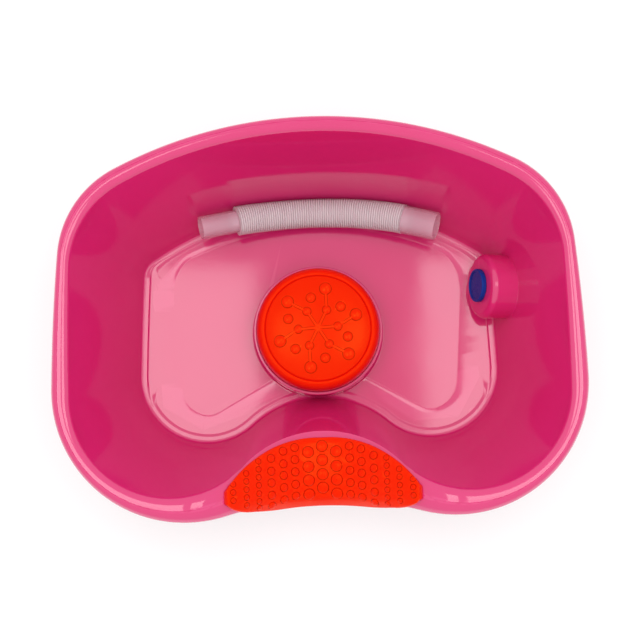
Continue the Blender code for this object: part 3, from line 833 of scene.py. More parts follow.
@dataclass(frozen=True)
class MouldingForm:
    """What the moulding and the pieces on it share: outlines, rim, saddle, floor and drain."""

    length: float = 0.479
    width: float = 0.362
    height: float = 0.150
    wall: float = 0.0025
    side_draft: float = math.radians(20.4)
    back_draft: float = math.radians(18.4)
    front_draft: float = math.radians(21.0)
    rim_side_width: float = 0.017
    rim_back_width: float = 0.0151
    rim_front_width: float = 0.0228
    rim_skirt_depth: float = 0.025
    saddle_drop: float = 0.044
    saddle_half_width: float = 0.126
    pan_depth: float = 0.004
    pedestal_y: float = -0.003
    drain_y: float = 0.0345
    drain_height: float = 0.032
    rim_section: tuple[Point, ...] = (
        (0.00, 1.00),
        (0.00, 0.42),
        (0.03, 0.24),
        (0.12, 0.09),
        (0.28, 0.01),
        (0.45, 0.00),
        (0.64, 0.01),
        (0.86, 0.06),
        (1.00, 0.16),
    )
    outer_arcs: tuple[Point, ...] = ((0.837, 26.8), (0.198, 57.9), (3.653, 4.0), (0.248, 107.8))
    inner_arcs: tuple[Point, ...] = ((0.785, 27.5), (0.182, 60.1), (4.998, 2.8), (0.186, 135.5))
    floor_arcs: tuple[Point, ...] = ((0.585, 33.9), (0.044, 52.3), (6.286, 1.8), (0.134, 133.7))

    @property
    def floor_top(self) -> float:
        """Height of the floor's ledge."""
        return self.wall + self.pan_depth

    @property
    def edge_height(self) -> float:
        """Height of the rim's inner edge, away from the saddle."""
        return self.height - self.rim_skirt_depth * self.rim_section[-1][1]

    @property
    def last_row(self) -> int:
        """The last row of the rim's section, on its inner edge."""
        return len(self.rim_section) - 1

    def outlines(self, fineness: int) -> tuple[Ring, Ring, Ring]:
        """Gives the rim's outer edge, its inner edge and the floor's corner line in plan.

        Args:
            fineness: How many times finer than the plainest the arcs are stepped.

        Returns:
            The three closed rings.
        """
        half_length, half_width = self.length / 2, self.width / 2
        inner_length = half_length - self.rim_side_width
        inner_back = half_width - self.rim_back_width
        inner_front = self.rim_front_width - half_width
        depth = self.edge_height - self.floor_top
        drafts = (self.side_draft, self.back_draft, self.front_draft)
        side, back, front = (depth * math.tan(draft) for draft in drafts)
        floor_box = (inner_length - side, inner_back - back, inner_front + front)
        return (
            PlanOutline(self.outer_arcs, half_length, half_width, -half_width).ring(fineness),
            PlanOutline(self.inner_arcs, inner_length, inner_back, inner_front).ring(fineness),
            PlanOutline(self.floor_arcs, *floor_box).ring(fineness),
        )

    def crest_height(self, point: Vector) -> float:
        """Gives the height of the rim's crest, which dips to the saddle at the front middle.

        Args:
            point: The place in plan.

        Returns:
            The height.
        """
        if point.y > 0 or abs(point.x) >= self.saddle_half_width:
            return self.height
        dip = 1 + math.cos(math.pi * point.x / self.saddle_half_width)
        return self.height - self.saddle_drop * dip / 2

    def rim_ring(self, outer: Ring, inner: Ring, row: float) -> Ring:
        """Gives one ring of the rim's surface.

        Args:
            outer: The rim's outer edge in plan.
            inner: The rim's inner edge in plan.
            row: The row of the rim's section, from 0 at its foot, with a fraction.

        Returns:
            The ring's points.
        """
        section = smooth_point([Vector((*point, 0)) for point in self.rim_section], row)
        across, down = max(section.x, 0), max(section.y, 0)
        ring = [start.lerp(end, across) for start, end in zip(outer, inner)]
        for point in ring:
            point.z = self.crest_height(point) - down * self.rim_skirt_depth
        return ring

    def drain_frame(self, shift: float = 0.0) -> Matrix:
        """Gives the drain's own frame, with +Z square out of the side wall into the bowl.

        Args:
            shift: How far towards the front it is moved.

        Returns:
            The frame.
        """
        tilt = Matrix.Rotation(self.side_draft - math.pi / 2, 4, "Y")
        rise = self.drain_height - self.floor_top
        wall_x = max(point.x for point in self.outlines(1)[2]) + rise * math.tan(self.side_draft)
        return Matrix.Translation((wall_x, self.drain_y - shift, self.drain_height)) @ tilt


# Basin


@dataclass
class Basin:
    """The moulding: rim, saddle, walls, floor with its pan, pedestal, drain boss and spout.

    The floor's two sections lead inwards from its corner line, by distance, height and round.
    The pan's arcs have a radius, a turn in degrees and the straight run after it. The groove's
    section is counted in half rows across and in depths up.
    """

    form: MouldingForm
    look: Material
    fineness: int = 4
    rows_a_span: int = 4
    wall_rows: int = 6
    fillet_rows: int = 8
    floor_fillet: float = 0.0025
    shelf_span: Point = (-0.072, 0.080)
    shelf_taper: float = 0.026
    shelf_least_x: float = 0.12
    floor_at_sides: tuple[Corner, ...] = (
        (0.0025, 0.0065, 0),
        (0.0044, 0.0065, 0),
        (0.0055, 0.0065, 0),
        (0.0070, 0.0053, 0.0012),
        (0.0080, 0.0053, 0),
        (0.0090, 0.0053, 0),
        (0.0150, 0.0053, 0.001),
        (0.0170, 0.0053, 0),
    )
    floor_at_ends: tuple[Corner, ...] = (
        (0.0025, 0.00585, 0),
        (0.0029, 0.00585, 0),
        (0.0033, 0.00585, 0),
        (0.0040, 0.00583, 0.0012),
        (0.0050, 0.00583, 0),
        (0.0060, 0.00583, 0),
        (0.0080, 0.0053, 0.003),
        (0.0105, 0.0053, 0),
    )
    floor_round_steps: int = 3
    pan_floor: float = 0.0048
    pan_back: float = 0.1048
    pan_arcs: tuple[Corner, ...] = ((0.2958, 24.0, 0), (0.032, 69.9, 0.1073), (0.026, 116.1, 0))
    pan_arc_steps: int = 6
    pan_corner_steps: int = 4
    pan_ring_steps: int = 14
    pan_step_run: float = 0.0055
    pan_foot_round: float = 0.0080
    pan_edge_round: float = 0.0045
    pan_foot_run: float = 0.0020
    pan_lip: float = 0.0002
    pan_overlap: float = 0.00002
    pan_side_x: float = 0.0854
    pan_side_y: float = -0.008
    pan_side_reach: float = 0.078
    pan_side_slope: float = 0.019
    pan_corner_radius: float = 0.0085
    pan_bridge_turn: float = math.radians(30.0)
    pedestal_radius: float = 0.061
    pedestal_top: float = 0.036
    pedestal_fillet: float = 0.002
    pedestal_edge: float = 0.0010
    nest_radius: float = 0.0583
    nest_depth: float = 0.003
    recess_radius: float = 0.0275
    boss_radius: float = 0.0305
    boss_shift: float = 0.0008
    boss_fillet: float = 0.0055
    boss_foot: float = 0.003
    boss_length: float = 0.0280
    boss_root: float = 0.030
    boss_round_steps: int = 10
    spout_radius: float = 0.012
    spout_bore_radius: float = 0.010
    spout_length: float = 0.026
    spout_round_steps: int = 4
    sink_radius: float = 0.0040
    sink_depth: float = 0.00004
    sink_places: tuple[Point, ...] = ((-0.0994, 0.0118), (0.1054, 0.0127))
    groove_row: float = 4.45
    groove_half_rows: float = 0.13
    groove_depth: float = 0.0003
    groove_section: tuple[Point, ...] = ((-1, 0.5), (0, -1), (1, 0.5), (0, 2.5), (-1, 0.5))
    overrun: float = 0.004
    turn_steps: int = 160

    def build(self) -> Object:
        """Builds the moulding from its shell and its joined and cut solids."""
        shell = placed("shell", self._shell_sheet())
        solidify = shell.modifiers.new("wall", "SOLIDIFY")
        solidify.thickness, solidify.offset = self.form.wall, -1
        solidify.use_even_offset = True
        solids = (
            ("pan_block", self._pan_block(), Joining.ADD),
            ("pan_hollow", self._pan_hollow(), Joining.CUT),
            ("pedestal", self._pedestal(), Joining.ADD),
            ("boss", self._boss(), Joining.ADD),
            ("rim_groove", self._rim_groove(), Joining.CUT),
            ("pedestal_hollow", self._pedestal_hollow(), Joining.CUT),
            ("drain_hollow", self._drain_hollow(), Joining.CUT),
            ("sink_marks", self._sink_marks(), Joining.CUT),
        )
        bm = settled(shell, [add_solid(shell, *solid) for solid in solids])
        piece = Piece("basin_moulding", Body.BASIN, Slot.PINK_PLASTIC, "basin_shell")
        return piece.make(bm, self.look)

    def _bowl_rings(self, outset: float) -> list[Ring]:
        """Gives the rings of the moulded face, from the rim's inner edge to the floor.

        Args:
            outset: How far outside the moulded face they lie.

        Returns:
            The rings, from the top down.
        """
        form = self.form
        _, inner, corner = form.outlines(self.fineness)
        shares = [self._shelf_share(point) for point in corner]
        floors = (self.floor_at_sides, self.floor_at_ends)
        sides, ends = (rounded(floor, self.floor_round_steps) for floor in floors)
        inner = inset(inner, -outset)
        tops = form.rim_ring(inner, inner, form.last_row)
        lows = [between(ends[0].z, sides[0].z, share) for share in shares]
        slope = math.tan(form.side_draft)
        corner = inset(corner, [(form.floor_top - low) * slope - outset for low in lows])
        feet = inset(corner, self.floor_fillet)
        for point, foot, low in zip(corner, feet, lows):
            point.z = foot.z = low - outset
        starts = [foot + (top - foot).normalized() * self.floor_fillet for top, foot in zip(tops, corner)]
        rings = [tops]
        for row in range(1, self.wall_rows):
            rings.append([top.lerp(start, row / self.wall_rows) for top, start in zip(tops, starts)])
        for share in (row / self.fillet_rows for row in range(self.fillet_rows)):
            bends = zip(starts, corner, feet)
            rings.append([a.lerp(b, share).lerp(b.lerp(c, share), share) for a, b, c in bends])
        for side, end in zip(sides, ends):
            ring = inset(corner, [between(end.x, side.x, share) for share in shares])
            for point, share in zip(ring, shares):
                point.z = between(end.z, side.z, share) - outset
            rings.append(ring)
        return rings

    def _shelf_share(self, point: Vector) -> float:
        """Gives how much of the side shelf there is at a place on the floor's outline.

        Args:
            point: The place.

        Returns:
            The share, from 0 to 1.
        """
        front, back = self.shelf_span
        inside = min(point.y - front, back - point.y) / self.shelf_taper
        return eased(inside) if abs(point.x) >= self.shelf_least_x else 0.0

    def _shell_sheet(self) -> BMesh:
        """Draws the moulded face: the rim's section and then the bowl, with its floor filled."""
        form, span = self.form, self.rows_a_span
        outer, inner, _ = form.outlines(self.fineness)
        rings = [form.rim_ring(outer, inner, row / span) for row in range(form.last_row * span)]
        bm = drawn_out(rings + self._bowl_rings(0), (False, True))
        floor = min(bm.faces, key=lambda face: face.calc_center_median().z)
        if floor.normal.z < 0:
            bmesh.ops.reverse_faces(bm, faces=bm.faces)
        return bm

    def _pan_outline(self, outset: float) -> Ring:
        """Gives the pan's outline in plan: round the floor, the front lobes and the pedestal.

        Args:
            outset: How far outside the pan's edge it lies.

        Returns:
            The closed outline.
        """
        bm = bmesh.new()
        tip, heading = bm.verts.new((0, self.pan_back + outset, 0)), 0.0
        count = self.pan_arc_steps * self.fineness
        for radius, degrees, run in self.pan_arcs:
            tip = spun_on(bm, tip, heading, radius + outset, math.radians(degrees), count)
            heading += math.radians(degrees)
            start, along = tip.co.copy(), polar(run, -heading)
            for step in range(1, count + 1 if run > 0 else 1):
                tip = bm.verts.new(start + along * (step / count))
        right = [point.co.copy() for point in bm.verts]
        bm.free()
        return mirrored(right + self._pan_corner(right[-1], outset))

    def _pan_corner(self, lobe_end: Vector, outset: float) -> Ring:
        """Leads from a lobe straight to the pedestal, round a small corner and back round it.

        Args:
            lobe_end: The lobe's last point.
            outset: How far outside the pan's edge the outline lies.

        Returns:
            The outline's points as far as the back middle of the pedestal.
        """
        around = self.pedestal_radius - self.pan_step_run - self.pan_foot_run - self.pan_lip - outset
        corner = self.pan_corner_radius + outset
        run = polar(1, math.pi - self.pan_bridge_turn)
        side = Vector((run.y, -run.x, 0))
        middle = Vector((0, self.form.pedestal_y, 0))
        start = lobe_end + side * corner - middle
        along = start.dot(run)
        travel = -along - math.sqrt(along**2 - start.length_squared + (around + corner) ** 2)
        centre = start + run * travel
        arc_from = math.atan2(-side.y, -side.x)
        arc_to = math.atan2(-centre.y, -centre.x) - FULL_TURN
        ring_from = math.atan2(centre.y, centre.x)
        arc_steps, ring_steps = self.pan_corner_steps * self.fineness, self.pan_ring_steps * self.fineness
        points = []
        for step in range(arc_steps + 1):
            points.append(centre + polar(corner, between(arc_from, arc_to, step / arc_steps)) + middle)
        for step in range(1, ring_steps + 1):
            points.append(polar(around, between(ring_from, math.pi / 2, step / ring_steps)) + middle)
        return points

    def _pan_solid(self, profile: Sequence[Vector], least_spread: float = 0.0) -> BMesh:
        """Draws a solid with the pan's outline, whose long sides slope far more gently.

        Args:
            profile: How far outside the pan's edge each level lies, as X, and its height, as Z.
            least_spread: The share of the sides' slope that the lowest level has already.

        Returns:
            The solid.
        """
        rings = []
        for level in profile:
            risen = (level.z - self.pan_floor) / (self._ring_level - self.pan_floor)
            spread = self.pan_side_slope * math.sqrt(min(max(risen, least_spread), 1))
            ring = self._pan_outline(level.x)
            for point in ring:
                if abs(point.x) > self.pan_side_x:
                    inside = 1 - abs(point.y - self.pan_side_y) / self.pan_side_reach
                    point.x += math.copysign(spread * eased(2 * inside), point.x)
                point.z = level.z
            rings.append(ring)
        return drawn_out(rings)

    def _pan_block(self) -> BMesh:
        """Draws the block below the floor that the pan is sunk into."""
        half = self.form.wall / 2
        top = Vector((half + self.pan_step_run, 0, self._ring_level - half))
        return self._pan_solid([Vector((half, 0, 0)), top], 1)

    def _pan_hollow(self) -> BMesh:
        """Draws the pan's hollow, with a rounded foot and edge."""
        step, foot, lip = self.pan_step_run, self.pan_foot_run, self.pan_lip
        floor, edge = self.pan_floor, self._ring_level + self.pan_overlap
        corners = [
            (-step - foot, floor, 0),
            (-step, floor, self.pan_foot_round),
            (0, edge, self.pan_edge_round),
            (foot, edge, lip / 2),
            (foot + lip, edge + self.overrun, 0),
        ]
        return self._pan_solid(rounded(corners))

    @property
    def _ring_level(self) -> float:
        """Height of the floor beside the pan."""
        return self.floor_at_ends[-1][1]

    @property
    def _pedestal_place(self) -> Matrix:
        """The pedestal's place on the floor."""
        return Matrix.Translation((0, self.form.pedestal_y, 0))

    def _pedestal(self) -> BMesh:
        """Turns the pedestal, with the shallow nest for the head rest on top."""
        top, pan = self.pedestal_top, self.pan_floor
        nest, floor = self.nest_radius, top - self.nest_depth
        radius, edge, fillet = self.pedestal_radius, self.pedestal_edge, self.pedestal_fillet
        corners = [
            (0, floor, 0),
            (nest, floor, edge / 2),
            (nest, top, edge / 2),
            (radius, top, edge),
            (radius, pan, fillet * ALMOST),
            (radius + fillet, pan, 0),
            (radius + fillet, pan / 2, 0),
            (0, pan / 2, 0),
        ]
        return turned(corners, self.turn_steps, self._pedestal_place)

    def _pedestal_hollow(self) -> BMesh:
        """Turns the pedestal's hollow, open from below."""
        wall, foot = self.form.wall, -self.overrun
        radius = self.pedestal_radius - wall
        roof = self.pedestal_top - self.nest_depth - wall
        corners = [(0, roof, 0), (radius, roof, wall), (radius, foot, 0), (0, foot, 0)]
        return turned(corners, self.turn_steps, self._pedestal_place)

    def _boss(self) -> BMesh:
        """Turns the drain boss and ends it inside the wall's thickness."""
        radius, face, foot = self.boss_radius, self.boss_length, self.boss_foot
        corners = [
            (0, face, 0),
            (radius, face, self.boss_fillet),
            (radius, 0, foot * ALMOST),
            (radius + foot, 0, 0),
            (radius + foot, -radius, 0),
            (0, -radius, 0),
        ]
        place = self.form.drain_frame(self.boss_shift)
        blank = turned(corners, self.turn_steps // 2, place, self.boss_round_steps)
        boss = placed("boss_blank", blank)
        envelope = drawn_out(self._bowl_rings(self.form.wall / 2))
        return settled(boss, [add_solid(boss, "bowl_envelope", envelope, Joining.KEEP_COMMON)])

    def _drain_hollow(self) -> BMesh:
        """Turns the recess behind the boss, with the spout left standing, and the spout's bore."""
        wall, root = self.form.wall, -self.boss_root
        spout, bore, recess = self.spout_radius, self.spout_bore_radius, self.recess_radius
        face, end = self.boss_length - wall, self.boss_length + self.overrun
        tip = self.boss_length - self.spout_length
        tip_round, foot_round = wall / 6, wall / 2
        corners = [
            (0, end, 0),
            (bore, end, 0),
            (bore, tip, tip_round),
            (spout, tip, tip_round),
            (spout, face, foot_round),
            (recess, face, wall),
            (recess, root, 0),
            (0, root, 0),
        ]
        return turned(corners, self.turn_steps // 2, self.form.drain_frame(), self.spout_round_steps)

    def _rim_groove(self) -> BMesh:
        """Draws the fine groove in the rim's top as a loop to cut away."""
        outer, inner, _ = self.form.outlines(self.fineness)
        rings = []
        for half_rows, rise in self.groove_section:
            row = self.groove_row + half_rows * self.groove_half_rows
            ring = self.form.rim_ring(outer, inner, row)
            rings.append([point + UP * (rise * self.groove_depth) for point in ring])
        return drawn_out(rings, (False, False))

    def _sink_marks(self) -> BMesh:
        """Turns the two faint round sinks that the mould leaves in the pan."""
        marks = bmesh.new()
        pan, radius = self.pan_floor, self.sink_radius
        corners = [(0, pan * 2, 0), (radius, pan * 2, 0), (radius, pan, 0), (0, pan - self.sink_depth, 0)]
        for place in self.sink_places:
            joined(marks, turned(corners, self.turn_steps // 4, Matrix.Translation((*place, 0))))
        return marks


# Rubber pads


@dataclass(frozen=True)
class Bump:
    """One massage bump: a low dome with a steep foot and a dimple in its middle."""

    radius: float
    height_share: float = 0.34
    foot_share: float = 0.40
    sink: float = 0.0012
    dimple_radius: float = 0.0004
    dimple_depth: float = 0.00025
    dimple_floor_share: float = 0.6
    dome_start_share: float = 1.2
    skirt_share: float = 1.01
    moat_width: float = 0.0006
    moat_depth: float = 0.0009
    rows: int = 7
    steps: int = 28

    def moat(self, place: Matrix) -> BMesh:
        """Turns the plain blank that cuts the narrow moat round the bump.

        Args:
            place: Where the bump's foot stands on the surface.

        Returns:
            The blank's mesh.
        """
        reach, depth = self.radius + self.moat_width, -self.moat_depth
        corners = [(0, self.sink, 0), (reach, self.sink, 0), (reach, depth, 0), (0, depth, 0)]
        return turned(corners, self.steps, place)

    def mesh(self, place: Matrix) -> BMesh:
        """Turns the bump.

        Args:
            place: Where its foot stands on the surface.

        Returns:
            The bump's mesh.
        """
        height, dimple = self.radius * self.height_share, self.dimple_radius
        dish = height - self.dimple_depth
        corners = [(0, dish, 0), (dimple * self.dimple_floor_share, dish, 0), (dimple, height, 0)]
        for row in range(1, self.rows + 1):
            angle = math.pi / 2 * row / self.rows
            across = max(self.radius * math.sin(angle), dimple * self.dome_start_share)
            drop = (1 - math.cos(angle)) * height * (1 - self.foot_share)
            corners.append((across, height - drop, 0))
        corners += [(self.radius * self.skirt_share, -self.sink, 0), (0, -self.sink, 0)]
        return turned(corners, self.steps, place)


def with_bumps(pad: Object, places: Sequence[tuple[Matrix, Bump]]) -> BMesh:
    """Cuts a moat for each bump into a pad and stands the bumps in them.

    Args:
        pad: The plain pad, which is used up.
        places: Where each bump stands, and its kind.

    Returns:
        The pad's mesh with its bumps.
    """
    moats = bmesh.new()
    for place, bump in places:
        joined(moats, bump.moat(place))
    bm = settled(pad, [add_solid(pad, "moats", moats, Joining.CUT)])
    for place, bump in places:
        joined(bm, bump.mesh(place))
    LOG.info("%d bumps in their moats", len(places))
    return bm


@dataclass(frozen=True)
class BumpRing:
    """A ring of six bumps: its radius, the first bump's angle and the bumps' radius."""

    radius: float
    first_angle: float
    bump_radius: float
    count: int = 6

    def angles(self) -> list[float]:
        """Gives each bump's angle round the ring."""
        return [self.first_angle + FULL_TURN * index / self.count for index in range(self.count)]


@dataclass
class HeadRest:
    """The round head pad: crown, groove, three rings of bumps and the ribs that join them.

    The routes of its section are shares of its radius and, up, of the crown's or side's height,
    and the ribs' section has shares of half their width and of their height.
    """

    form: MouldingForm
    look: Material
    bottom: float = 0.0333
    radius: float = 0.058
    height: float = 0.0285
    crown: float = 0.007
    curve_steps: int = 4
    turn_steps: int = 200
    rib_width: float = 0.0022
    rib_height: float = 0.0008
    rib_sink: float = 0.0012
    rib_section: tuple[Point, ...] = ((0.96, 0.75), (0.8, 1.0))
    rib_steps: int = 10
    channel: float = 0.0004
    small: BumpRing = BumpRing(0.0185, math.radians(2.8), 0.0038)
    medium: BumpRing = BumpRing(0.0290, math.radians(41.8), 0.0043)
    large: BumpRing = BumpRing(0.0375, math.radians(17.8), 0.0054)
    crown_route: tuple[Point, ...] = (
        (0.00, 1.00),
        (0.16, 0.988),
        (0.32, 0.95),
        (0.48, 0.88),
        (0.62, 0.78),
        (0.74, 0.65),
        (0.832, 0.51),
    )
    groove_route: tuple[Point, ...] = (
        (0.840, 0.485),
        (0.848, 0.390),
        (0.855, 0.355),
        (0.862, 0.390),
        (0.872, 0.470),
        (0.900, 0.42),
        (0.938, 0.22),
        (0.966, -0.06),
        (0.988, -0.50),
    )
    side_route: tuple[Point, ...] = (
        (0.998, 0.60),
        (1.0, 0.42),
        (1.0, 0.10),
        (0.995, 0.03),
        (0.985, 0.0),
        (0.0, 0.0),
    )

    def build(self) -> Object:
        """Builds the pad and lays its bumps and ribs on the crown."""
        places = [
            (Matrix.Translation(self._on_crown(ring.radius, angle)), Bump(ring.bump_radius))
            for ring in (self.small, self.medium, self.large)
            for angle in ring.angles()
        ]
        pad = placed("plain_pad", turned(self._section(), self.turn_steps, Matrix()))
        blank = self._ribs(self.rib_width + 2 * self.channel, -self.channel)
        channels = add_solid(pad, "rib_channels", blank, Joining.CUT, overlapping=True)
        bm = with_bumps(placed("channelled_pad", settled(pad, [channels])), places)
        joined(bm, self._ribs(self.rib_width, -self.rib_sink))
        bm.transform(Matrix.Translation((0, self.form.pedestal_y, self.bottom)))
        piece = Piece("head_cushion", Body.HEAD_REST, Slot.RUBBER, "head_pad", PAD_SHARP_ANGLE)
        return piece.make(bm, self.look)

    def _section(self) -> list[Corner]:
        """Gives the pad's section, from the crown's middle round to the underside's middle."""
        shoulder, steps = self.height - self.crown, self.curve_steps
        route = [Vector((*point, 0)) for point in self.crown_route]
        crown = [smooth_point(route, step / steps) for step in range((len(route) - 1) * steps + 1)]
        top = [(point.x, point.y) for point in crown] + list(self.groove_route)
        section = [(across * self.radius, shoulder + up * self.crown, 0) for across, up in top]
        return section + [(across * self.radius, up * shoulder, 0) for across, up in self.side_route]

    def _crown_height(self, radius: float) -> float:
        """Gives the crown's height at a distance from the pad's middle."""
        share = min(radius / self.radius, self.crown_route[-1][0])
        return self.height + (along_route(self.crown_route, share).y - 1) * self.crown

    def _on_crown(self, radius: float, angle: float) -> Vector:
        """Gives a place on the crown."""
        return polar(radius, angle, self._crown_height(radius))

    def _ribs(self, width: float, bottom: float) -> BMesh:
        """Draws the ribs that lead from the middle to the small bumps and on to the large ones.

        Args:
            width: The ribs' width.
            bottom: How far from the crown's surface they start, negative for below it.

        Returns:
            The ribs' mesh.
        """
        ribs = bmesh.new()
        for near, far in zip(self.small.angles(), self.large.angles()):
            inner, small = polar(self.rib_width / 2, near), polar(self.small.radius, near)
            joined(ribs, self._rib(inner, small, width, bottom))
            joined(ribs, self._rib(small, polar(self.large.radius, far), width, bottom))
        return ribs

    def _rib(self, start: Vector, end: Vector, width: float, bottom: float) -> BMesh:
        """Draws one narrow raised rib over the crown.

        Args:
            start: Where it starts, in plan.
            end: Where it ends, in plan.
            width: Its width.
            bottom: How far from the crown's surface it starts, negative for below it.

        Returns:
            The rib's mesh.
        """
        side = UP.cross(end - start).normalized()
        half, top = width / 2, self.rib_height
        right = [(half, bottom)] + [(half * across, top * up) for across, up in self.rib_section]
        section = right + [(-across, up) for across, up in reversed(right)]
        rings = []
        for step in range(self.rib_steps + 1):
            place = start.lerp(end, step / self.rib_steps)
            surface = self._crown_height(place.length)
            rings.append([place + side * across + UP * (surface + up) for across, up in section])
        return drawn_out(rings)


@dataclass(frozen=True)
class BumpColumn:
    """A kind of bump column on the neck pad: its bumps' radius and pitch, and its columns a side."""

    radius: float
    pitch: float
    columns: int


@dataclass
class NeckRest:
    """The neck pad: a rubber sheet bent over the saddle, with columns of bumps.

    Its edge route has shares of the half length, each with the rows of the rim's section where
    the pad starts and stops. Its columns have their distance from the middle and their first row.
    """

    form: MouldingForm
    look: Material
    half_length: float = 0.088
    thickness: float = 0.0055
    gap: float = 0.0003
    edge_round: float = 0.0016
    row_length: float = 0.0036
    edge_route: tuple[Corner, ...] = (
        (0.00, 1.00, 7.15),
        (0.25, 1.00, 7.25),
        (0.50, 1.00, 7.30),
        (0.66, 1.45, 7.25),
        (0.78, 1.95, 7.15),
        (0.86, 2.45, 7.00),
        (0.92, 2.95, 6.75),
        (0.965, 3.45, 6.40),
        (1.00, 4.10, 5.90),
    )
    columns: tuple[Point, ...] = (
        (0.0000, 6.55),
        (0.0126, 6.25),
        (0.0246, 6.70),
        (0.0350, 6.70),
        (0.0459, 6.55),
        (0.0571, 6.83),
        (0.0680, 6.48),
        (0.0796, 6.30),
    )
    end_closeness: float = 0.6
    end_thinning: float = 0.6
    half_sections: int = 34
    cross_steps: int = 20
    edge_steps: int = 4
    fineness: int = 4
    rows_a_span: int = 8
    probe: float = 0.001
    row_probe: float = 0.25
    walk_steps: int = 60
    settle_steps: int = 4
    bump_steps: int = 24
    large: BumpColumn = BumpColumn(0.00485, 0.0125, 2)
    medium: BumpColumn = BumpColumn(0.0034, 0.0108, 3)
    small: BumpColumn = BumpColumn(0.0023, 0.0071, 3)

    def build(self) -> Object:
        """Bends the pad over the saddle and sets its bumps on it."""
        bm = with_bumps(placed("plain_pad", self._plain_pad()), self._bump_places())
        piece = Piece("neck_cushion", Body.NECK_REST, Slot.RUBBER, "neck_pad", PAD_SHARP_ANGLE)
        return piece.make(bm, self.look)

    @cached_property
    def _rows(self) -> list[Ring]:
        """The rim's surface, as rings a fraction of a section row apart."""
        outer, inner, _ = self.form.outlines(self.fineness)
        rows = range(self.form.last_row * self.rows_a_span + 1)
        return [self.form.rim_ring(outer, inner, row / self.rows_a_span) for row in rows]

    @staticmethod
    def _front_point(ring: Ring, x: float) -> Vector:
        """Finds a ring's point above a given X, on the front side between the two lobes.

        Args:
            ring: One ring of the rim's surface.
            x: The place along the length.

        Returns:
            The point.
        """
        half = len(ring) // 2
        lobe = min(range(half), key=lambda index: ring[index].y)
        for first, second in pairwise(ring[lobe : half + 1]):
            if second.x <= abs(x) <= first.x:
                point = first.lerp(second, (first.x - abs(x)) / (first.x - second.x))
                return Vector((math.copysign(point.x, x), point.y, point.z))
        return ring[lobe].copy()

    def _surface(self, x: float, row: float) -> Vector:
        """Gives a point of the rim's surface.

        Args:
            x: The place along the length.
            row: The row of the rim's section.

        Returns:
            The point.
        """
        low = min(int(row * self.rows_a_span), len(self._rows) - 2)
        first, second = (self._front_point(self._rows[index], x) for index in (low, low + 1))
        return first.lerp(second, row * self.rows_a_span - low)

    def _normal(self, x: float, row: float) -> Vector:
        """Gives the way that the rim's surface faces.

        Args:
            x: The place along the length.
            row: The row of the rim's section.

        Returns:
            The way, of length 1.
        """
        along = self._surface(x + self.probe, row) - self._surface(x - self.probe, row)
        up = self._surface(x, row + self.row_probe) - self._surface(x, row - self.row_probe)
        return along.cross(up).normalized()

    def _limits(self, share: float) -> Point:
        """Gives the rows where the pad starts and stops at a share of its half length."""
        point = along_route(self.edge_route, min(abs(share), 1))
        return point.y, point.z

    def _plain_pad(self) -> BMesh:
        """Draws the pad from section to section along its length, with round edges."""
        rings = []
        inner_steps = range(self.edge_steps, self.cross_steps - self.edge_steps + 1)
        for index in range(-self.half_sections, self.half_sections + 1):
            even = index / self.half_sections
            share = between(even, math.sin(math.pi / 2 * even), self.end_closeness)
            front, back = self._limits(share)
            into_round = max(abs(share) * self.half_length - self.half_length + self.edge_round, 0)
            roundness = math.sqrt(max(1 - (into_round / self.edge_round) ** 2, 0))
            rows = between(1, roundness, self.end_thinning) / self.row_length
            height, edge = self.thickness * rows, self.edge_round * rows
            under = edge / 3
            spans = [between(front, back, step / self.cross_steps) for step in inner_steps]
            section = [(row, 0, 0) for row in spans] + [(back, 0, under), (back, height, edge)]
            section += [(row, height, 0) for row in reversed(spans)]
            section += [(front, height, edge), (front, 0, under), (spans[0], 0, 0)]
            x = share * self.half_length
            ring = []
            for point in rounded(section)[:-1]:
                lift = self.gap + point.z * self.row_length
                ring.append(self._surface(x, point.x) + self._normal(x, point.x) * lift)
            rings.append(ring)
        return drawn_out(rings)

    def _on_top(self, x: float, row: float) -> tuple[Vector, Vector]:
        """Finds the place on the pad's top that lies at a place along the length and a row.

        Args:
            x: The place along the length.
            row: The row of the rim's section.

        Returns:
            The place, and the way that the pad faces there.
        """
        below = x
        for _ in range(self.settle_steps):
            normal = self._normal(below, row)
            here = self._surface(below, row) + normal * (self.gap + self.thickness)
            below += x - here.x
        return here, normal

    def _bump_places(self) -> list[tuple[Matrix, Bump]]:
        """Walks each column forwards from its first bump and sets one at each pitch.

        Returns:
            Where each bump stands, and its kind.
        """
        sizes = (self.large, self.medium, self.small)
        kinds = [size for size in sizes for _ in range(size.columns)]
        places = []
        for column in range(1 - len(kinds), len(kinds)):
            kind = kinds[abs(column)]
            reach, first_row = self.columns[abs(column)]
            x = math.copysign(reach, column)
            last_row = self._limits(x / self.half_length)[0] + kind.radius / self.row_length
            walked, wanted, before = 0.0, 0.0, None
            for step in range(self.walk_steps + 1):
                here, normal = self._on_top(x, between(first_row, last_row, step / self.walk_steps))
                walked += (here - before).length if before is not None else 0
                before = here
                if walked >= wanted:
                    places.append((standing(here, normal), Bump(kind.radius, steps=self.bump_steps)))
                    wanted += kind.pitch
        return places


# Drain plug


